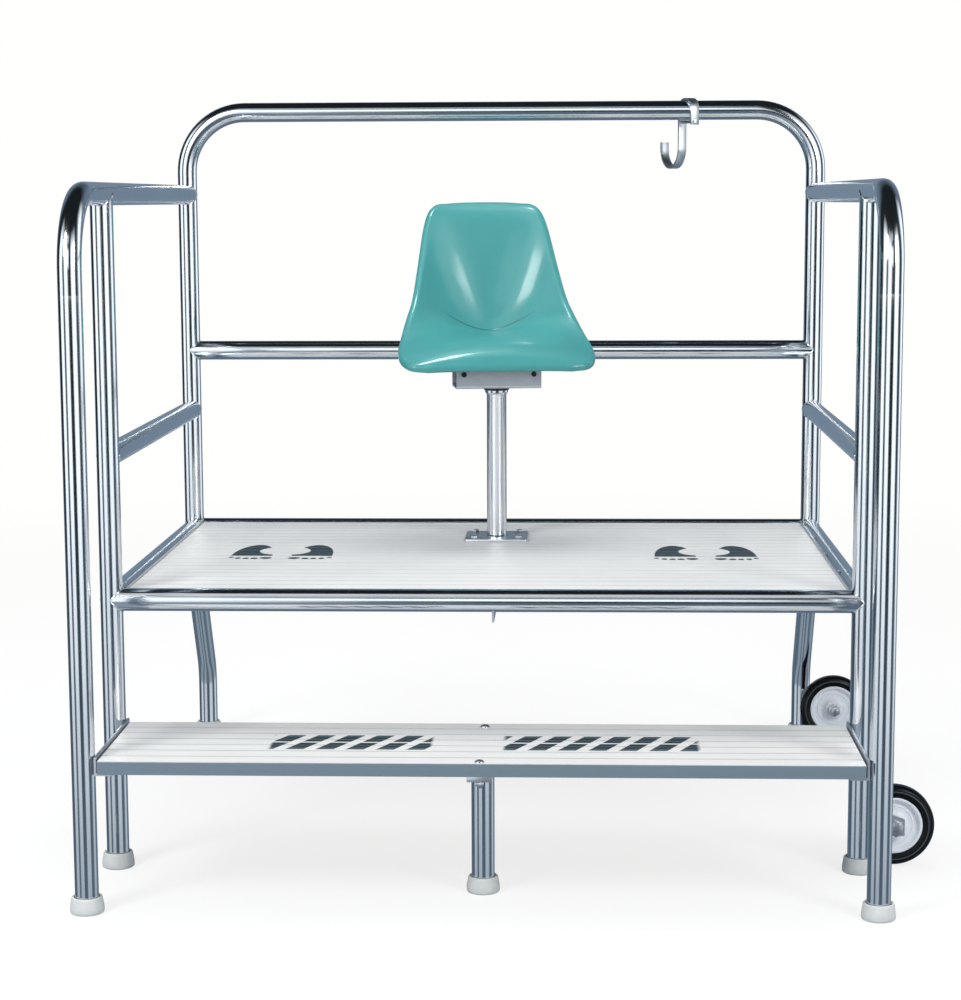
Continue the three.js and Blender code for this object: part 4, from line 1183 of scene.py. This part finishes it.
TYRE_RUBBER = tyre_rubber()

# %% Tyres and hubs
TYRE_FACE = rounded([
    (0.0620, 0.0150), (0.0690, 0.0178), (0.0735, 0.0183), (RIDGE_RADIUS, 0.0190),
    (0.0762, 0.0183), (0.0810, 0.0172), (0.0875, 0.0105), (0.0875, 0.0)], 0.0022, 3)
HUB_FACE = rounded([
    (0.0100, 0.0210), (0.0225, 0.0210), (0.0245, 0.0135), (0.0300, 0.0060), (0.0395, 0.0052),
    (0.0405, 0.0068), (0.0425, 0.0068), (0.0435, 0.0050), (0.0510, 0.0048), (0.0550, 0.0140),
    (0.0570, 0.0152), (0.0617, 0.0150), (0.0617, 0.0)], 0.0012, 3)


def both_faces(face):
    """A closed profile from one face through the rim to the other and back."""
    return face + [(radius, -height) for radius, height in reversed(face[:-1])] + face[:1]


for name in ("front", "rear"):
    low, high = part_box(f"{name}_wheel_tyre")
    centre = (WHEEL_X, (low.y + high.y) / 2, WHEEL_Z)
    for part, form, face, material, slot in (
        ("tyre", "ring", TYRE_FACE, TYRE_RUBBER, "tyre_rubber"),
        ("hub", "disc", HUB_FACE, WHITE_NYLON, "hub_nylon"),
    ):
        bm = spin_profile(bmesh.new(), both_faces(face), centre, -AXIS_Y, 96)
        make_piece(bm, f"{name}_wheel_{part}", form, material, f"{name}_wheel", 50)

# %% Axle bolts, nuts and plates
AXLE_FLATS = 0.030
AXLE_HEAD = 0.012
# The bolt's round boss begins halfway into the head
BOSS_IN = 0.006

for name, behind in (("front", 1), ("rear", -1)):
    low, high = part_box(f"{name}_axle_nut")
    start = (WHEEL_X, high.y, WHEEL_Z)
    bm = hexagon(bmesh.new(), AXLE_FLATS, start, -AXIS_Y, high.y - low.y)
    bolt_piece(bm, f"{name}_axle_nut")
    low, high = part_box(f"{name}_axle_bolt")
    head_y = low.y if behind > 0 else high.y
    along = AXIS_Y * behind
    bm = hexagon(bmesh.new(), AXLE_FLATS, (WHEEL_X, head_y, WHEEL_Z), along, AXLE_HEAD)
    start = (WHEEL_X, head_y + behind * BOSS_IN, WHEEL_Z)
    prism(bm, 40, 0.0095, start, along, high.y - low.y - BOSS_IN, 0.0016)
    bolt_piece(bm, f"{name}_axle_bolt")
    paint_node(SATIN_PLATE, f"{name}_wheel_plate")

# %% [markdown]
# ## The hook
#
# The hook is bent from flat bar like the tubes from round: a rectangle goes up the front of the
# rail, over it, down behind it and round a wide bowl. It hangs a little out of square, so the bends
# are made in its own upright plane, which is turned by twenty-four degrees. A face that is pushed
# out or spun leaves the one it grew from inside the bar, so those are looked for and deleted.

# %% Bend the flat bar
HOOK_PLACE = Matrix.Translation((0.478, HOOP_Y, HOOP_Z)) @ Matrix.Rotation(math.radians(24), 4, "Z")
BAR_WIDTH = 0.022
BAR_THICK = 0.006
HOOK_REACH = 0.0316
HOOK_FRONT = 0.037
HOOK_DROP = 0.092
HOOK_BOWL = 0.047
HOOK_TIP = 0.015


def flat_bar_hook():
    bm = bmesh.new()
    place = Matrix.Translation((0, -HOOK_REACH - BAR_THICK / 2, -HOOK_FRONT))
    place = place @ Matrix.Diagonal((BAR_WIDTH, BAR_THICK, 1, 1))
    bmesh.ops.create_grid(bm, x_segments=1, y_segments=1, size=0.5, matrix=place)
    face = bm.faces[:][0]

    def around(face, centre, degrees, steps):
        made = bmesh.ops.spin(
            bm, geom=[face], cent=centre, axis=AXIS_X, angle=math.radians(degrees), steps=steps,
            use_duplicate=False)
        return of_kind(made["geom_last"], BMFace)[0]

    # Its two bends over the rail are as far apart as the reach is wider than the rail
    side = HOOK_REACH - (TUBE_RADIUS + FIT)
    face = push_out(bm, face, AXIS_Z * HOOK_FRONT)
    face = around(face, (0, -side, 0), -90, 12)
    face = push_out(bm, face, AXIS_Y * (2 * side))
    face = around(face, (0, side, 0), -90, 12)
    face = push_out(bm, face, AXIS_Z * -HOOK_DROP)
    face = around(face, (0, HOOK_REACH + BAR_THICK + HOOK_BOWL, -HOOK_DROP), 180, 28)
    push_out(bm, face, AXIS_Z * HOOK_TIP)
    bmesh.ops.remove_doubles(bm, verts=bm.verts, dist=1e-6)
    inner = [face for face in bm.faces if all(len(edge.link_faces) > 2 for edge in face.edges)]
    bmesh.ops.delete(bm, geom=inner, context="FACES_ONLY")
    print("edges of the hook that don't join two faces:", sum(not e.is_manifold for e in bm.edges))
    bmesh.ops.recalc_face_normals(bm, faces=bm.faces)
    soften(bm, [edge for edge in bm.edges if edge.calc_face_angle() > 1.0], 0.0007)
    bmesh.ops.transform(bm, matrix=HOOK_PLACE, verts=bm.verts)
    return bm


make_piece(flat_bar_hook(), "rail_hook", "bar", SATIN_PLATE)

# %% The bolt that clamps it
HOOK_BOLT_Y = HOOK_REACH + BAR_THICK + FIT
HOOK_BOLT_Z = -0.029
bm = bmesh.new()
for way in (-1, 1):
    hexagon(bm, 0.0127, (0, way * HOOK_BOLT_Y, HOOK_BOLT_Z), AXIS_Y * way, 0.005)
prism(bm, 24, 0.0040, (0, -HOOK_BOLT_Y, HOOK_BOLT_Z), AXIS_Y, 0.0848, 0.0005)
bmesh.ops.transform(bm, matrix=HOOK_PLACE, verts=bm.verts)
bolt_piece(bm, "hook_bolt")

# %% [markdown]
# ## Floor, studio and lamps
#
# The photograph is cut out on white. The floor and the world are white to the camera alone, and the
# floor keeps the stand's shadow. Polished tube needs something dark to reflect as much as something
# bright, or it turns to chalk, so to the steel the world is a studio: bright and dark columns all
# round, a long soft box and bands above it straight in front, a plain wall behind and a dark
# ceiling. The world's shader draws it by direction, so it costs no lamps, and mirrored rays pass
# through the floor to it. Three soft lamps give light and shadow. A weak one over the step stands
# in for what the deck's front tube mirrors, and a small one lights the shell's gloss alone.


# %% Floor
def studio_floor():
    bm = bmesh.new()
    bmesh.ops.create_grid(bm, x_segments=1, y_segments=1, size=30)
    material, finish = new_finish("floor")
    _, (x, y, _) = finish.places()
    fade = finish.graded(x.length_with(y - 0.7), 1.5, 6.0, 0.78, 1.0)
    lit = finish.node("ShaderNodeBsdfDiffuse", {"Color": rgba(0.92, 0.93, 0.95)})
    white = finish.node("ShaderNodeEmission", {"Color": rgba(1.0, 1.0, 0.985), "Strength": 1.0})
    seen = finish.node("ShaderNodeMixShader", {0: fade, 1: lit, 2: white})
    through = finish.node("ShaderNodeBsdfTransparent")
    studio = finish.node("ShaderNodeBsdfDiffuse", {"Color": rgba(0.50, 0.54, 0.58)})
    finish.surface("Material Output", seen, through, studio)
    floor = new_object(bm, "floor", material)
    print("floor:", len(material.node_tree.nodes), "nodes")


studio_floor()

# %% What the steel mirrors
BLACK, DARK, SLATE = (0.008, 0.012, 0.015), (0.04, 0.055, 0.07), (0.16, 0.21, 0.27)
BLUE, DEEP = (0.20, 0.27, 0.35), (0.15, 0.21, 0.27)
PALE, BRIGHT = (0.62, 0.68, 0.74), (1.5, 1.55, 1.6)
NO, YES = (0, 0, 0), (1, 1, 1)
# All round, in degrees from straight in front, with the viewer's right above zero
WALLS = [
    (-180, SLATE), (-140, SLATE), (-120, BLACK), (-94, BLACK), (-86, BRIGHT), (-60, BRIGHT),
    (-55, DARK), (-43, DARK), (-35, BRIGHT), (-10, BRIGHT), (-4, BLACK), (22, BLACK),
    (29, BRIGHT), (60, BRIGHT), (68, DARK), (88, DARK), (98, PALE), (104, BRIGHT),
    (122, BRIGHT), (132, SLATE), (180, SLATE)]
# Where the bands in front are seen
MIDDLE = [(-180, NO), (-12, NO), (-9, YES), (5, YES), (7, NO), (180, NO)]
# From straight down to straight up, in front and behind
FRONT = [
    (0, PALE), (6, BRIGHT), (25, BRIGHT), (28, DARK), (33, DARK), (36, PALE), (43, PALE),
    (48, BLACK), (90, BLACK)]
BACK = [(-90, BLUE), (20, BLUE), (34, BLACK), (90, BLACK)]


def studio_pattern(finish):
    x, y, z = finish.parts(finish.node("ShaderNodeTexCoord", output="Generated"))
    turn = x.maths("ARCTAN2", 0 - y) / math.tau + 0.5
    height = z.maths("ARCSINE") / math.pi + 0.5
    walls = finish.tinted(turn, 180, WALLS)
    # Only the middle is banded. Beside it the walls' streaks run on upwards, as the bends show them
    tall_walls = finish.between(finish.graded(z, 0.45, 0.75), walls, rgba(*BLACK))
    banded = finish.tinted(height, 90, FRONT)
    above = finish.between(finish.tinted(turn, 180, MIDDLE), tall_walls, banded)
    below = finish.between(finish.graded(z, -0.09, -0.32, 0.0, 0.85), walls, rgba(*DEEP))
    ahead = finish.between(finish.graded(z, 0.04, 0.08), below, above)
    return finish.between(finish.graded(y, 0.80, 0.93), ahead, finish.tinted(height, 90, BACK))


# %% World
def studio_world():
    world = bpy.data.worlds.new("studio")
    world.use_nodes = True
    bpy.context.scene.world = world
    finish = Finish(world.node_tree)
    shown = studio_pattern(finish)
    mirrored = finish.node("ShaderNodeBackground", {"Color": shown, "Strength": 1.0})
    plain = {"Color": rgba(0.93, 0.96, 1.0), "Strength": 0.62}
    white = {"Color": rgba(1.0, 1.0, 0.985), "Strength": 1.0}
    plain, white = [finish.node("ShaderNodeBackground", look) for look in (plain, white)]
    finish.surface("World Output", white, mirrored, plain)
    print("world:", len(world.node_tree.nodes), "nodes")


studio_world()


# %% Lamps
def soft_lamp(name, place, target, width, height, watts):
    lamp = bpy.data.lights.new(name, "AREA")
    lamp.shape = "RECTANGLE"
    lamp.size = width
    lamp.size_y = height
    lamp.energy = watts
    soft_box = bpy.data.objects.new(name, lamp)
    aim = (Vector(target) - Vector(place)).to_track_quat("-Z", "Y").to_matrix().to_4x4()
    soft_box.matrix_world = Matrix.Translation(place) @ aim
    bpy.context.scene.collection.objects.link(soft_box)
    print(f"{name}: {width} by {height} m, {watts} W")
    return soft_box


soft_lamp("key", (-2.4, -2.6, 3.0), (0, 0.7, 0.8), 1.2, 1.6, 110)
soft_lamp("fill", (2.6, -2.4, 2.4), (0, 0.7, 0.8), 0.9, 1.5, 60)
soft_lamp("overhead", (0, 1.4, 4.2), (0, 0.8, 0.5), 2.4, 1.6, 70).visible_glossy = False
soft_lamp("over_step", (0, -0.22, 1.25), (0, -0.22, 0), 2.1, 0.45, 2.4)

# The small lamp puts soft spots on the shell's gloss and on nothing else
glint = soft_lamp("seat_glint", (-0.25, 0.55, 2.7), (0, 0.95, 1.1), 0.45, 0.35, 16)
glint.visible_diffuse = False
glint.light_linking.receiver_collection = bpy.data.collections.new("seat_glint")
glint.light_linking.receiver_collection.objects.link(shell)

# %% Picture settings
bpy.context.scene.view_settings.view_transform = "Standard"
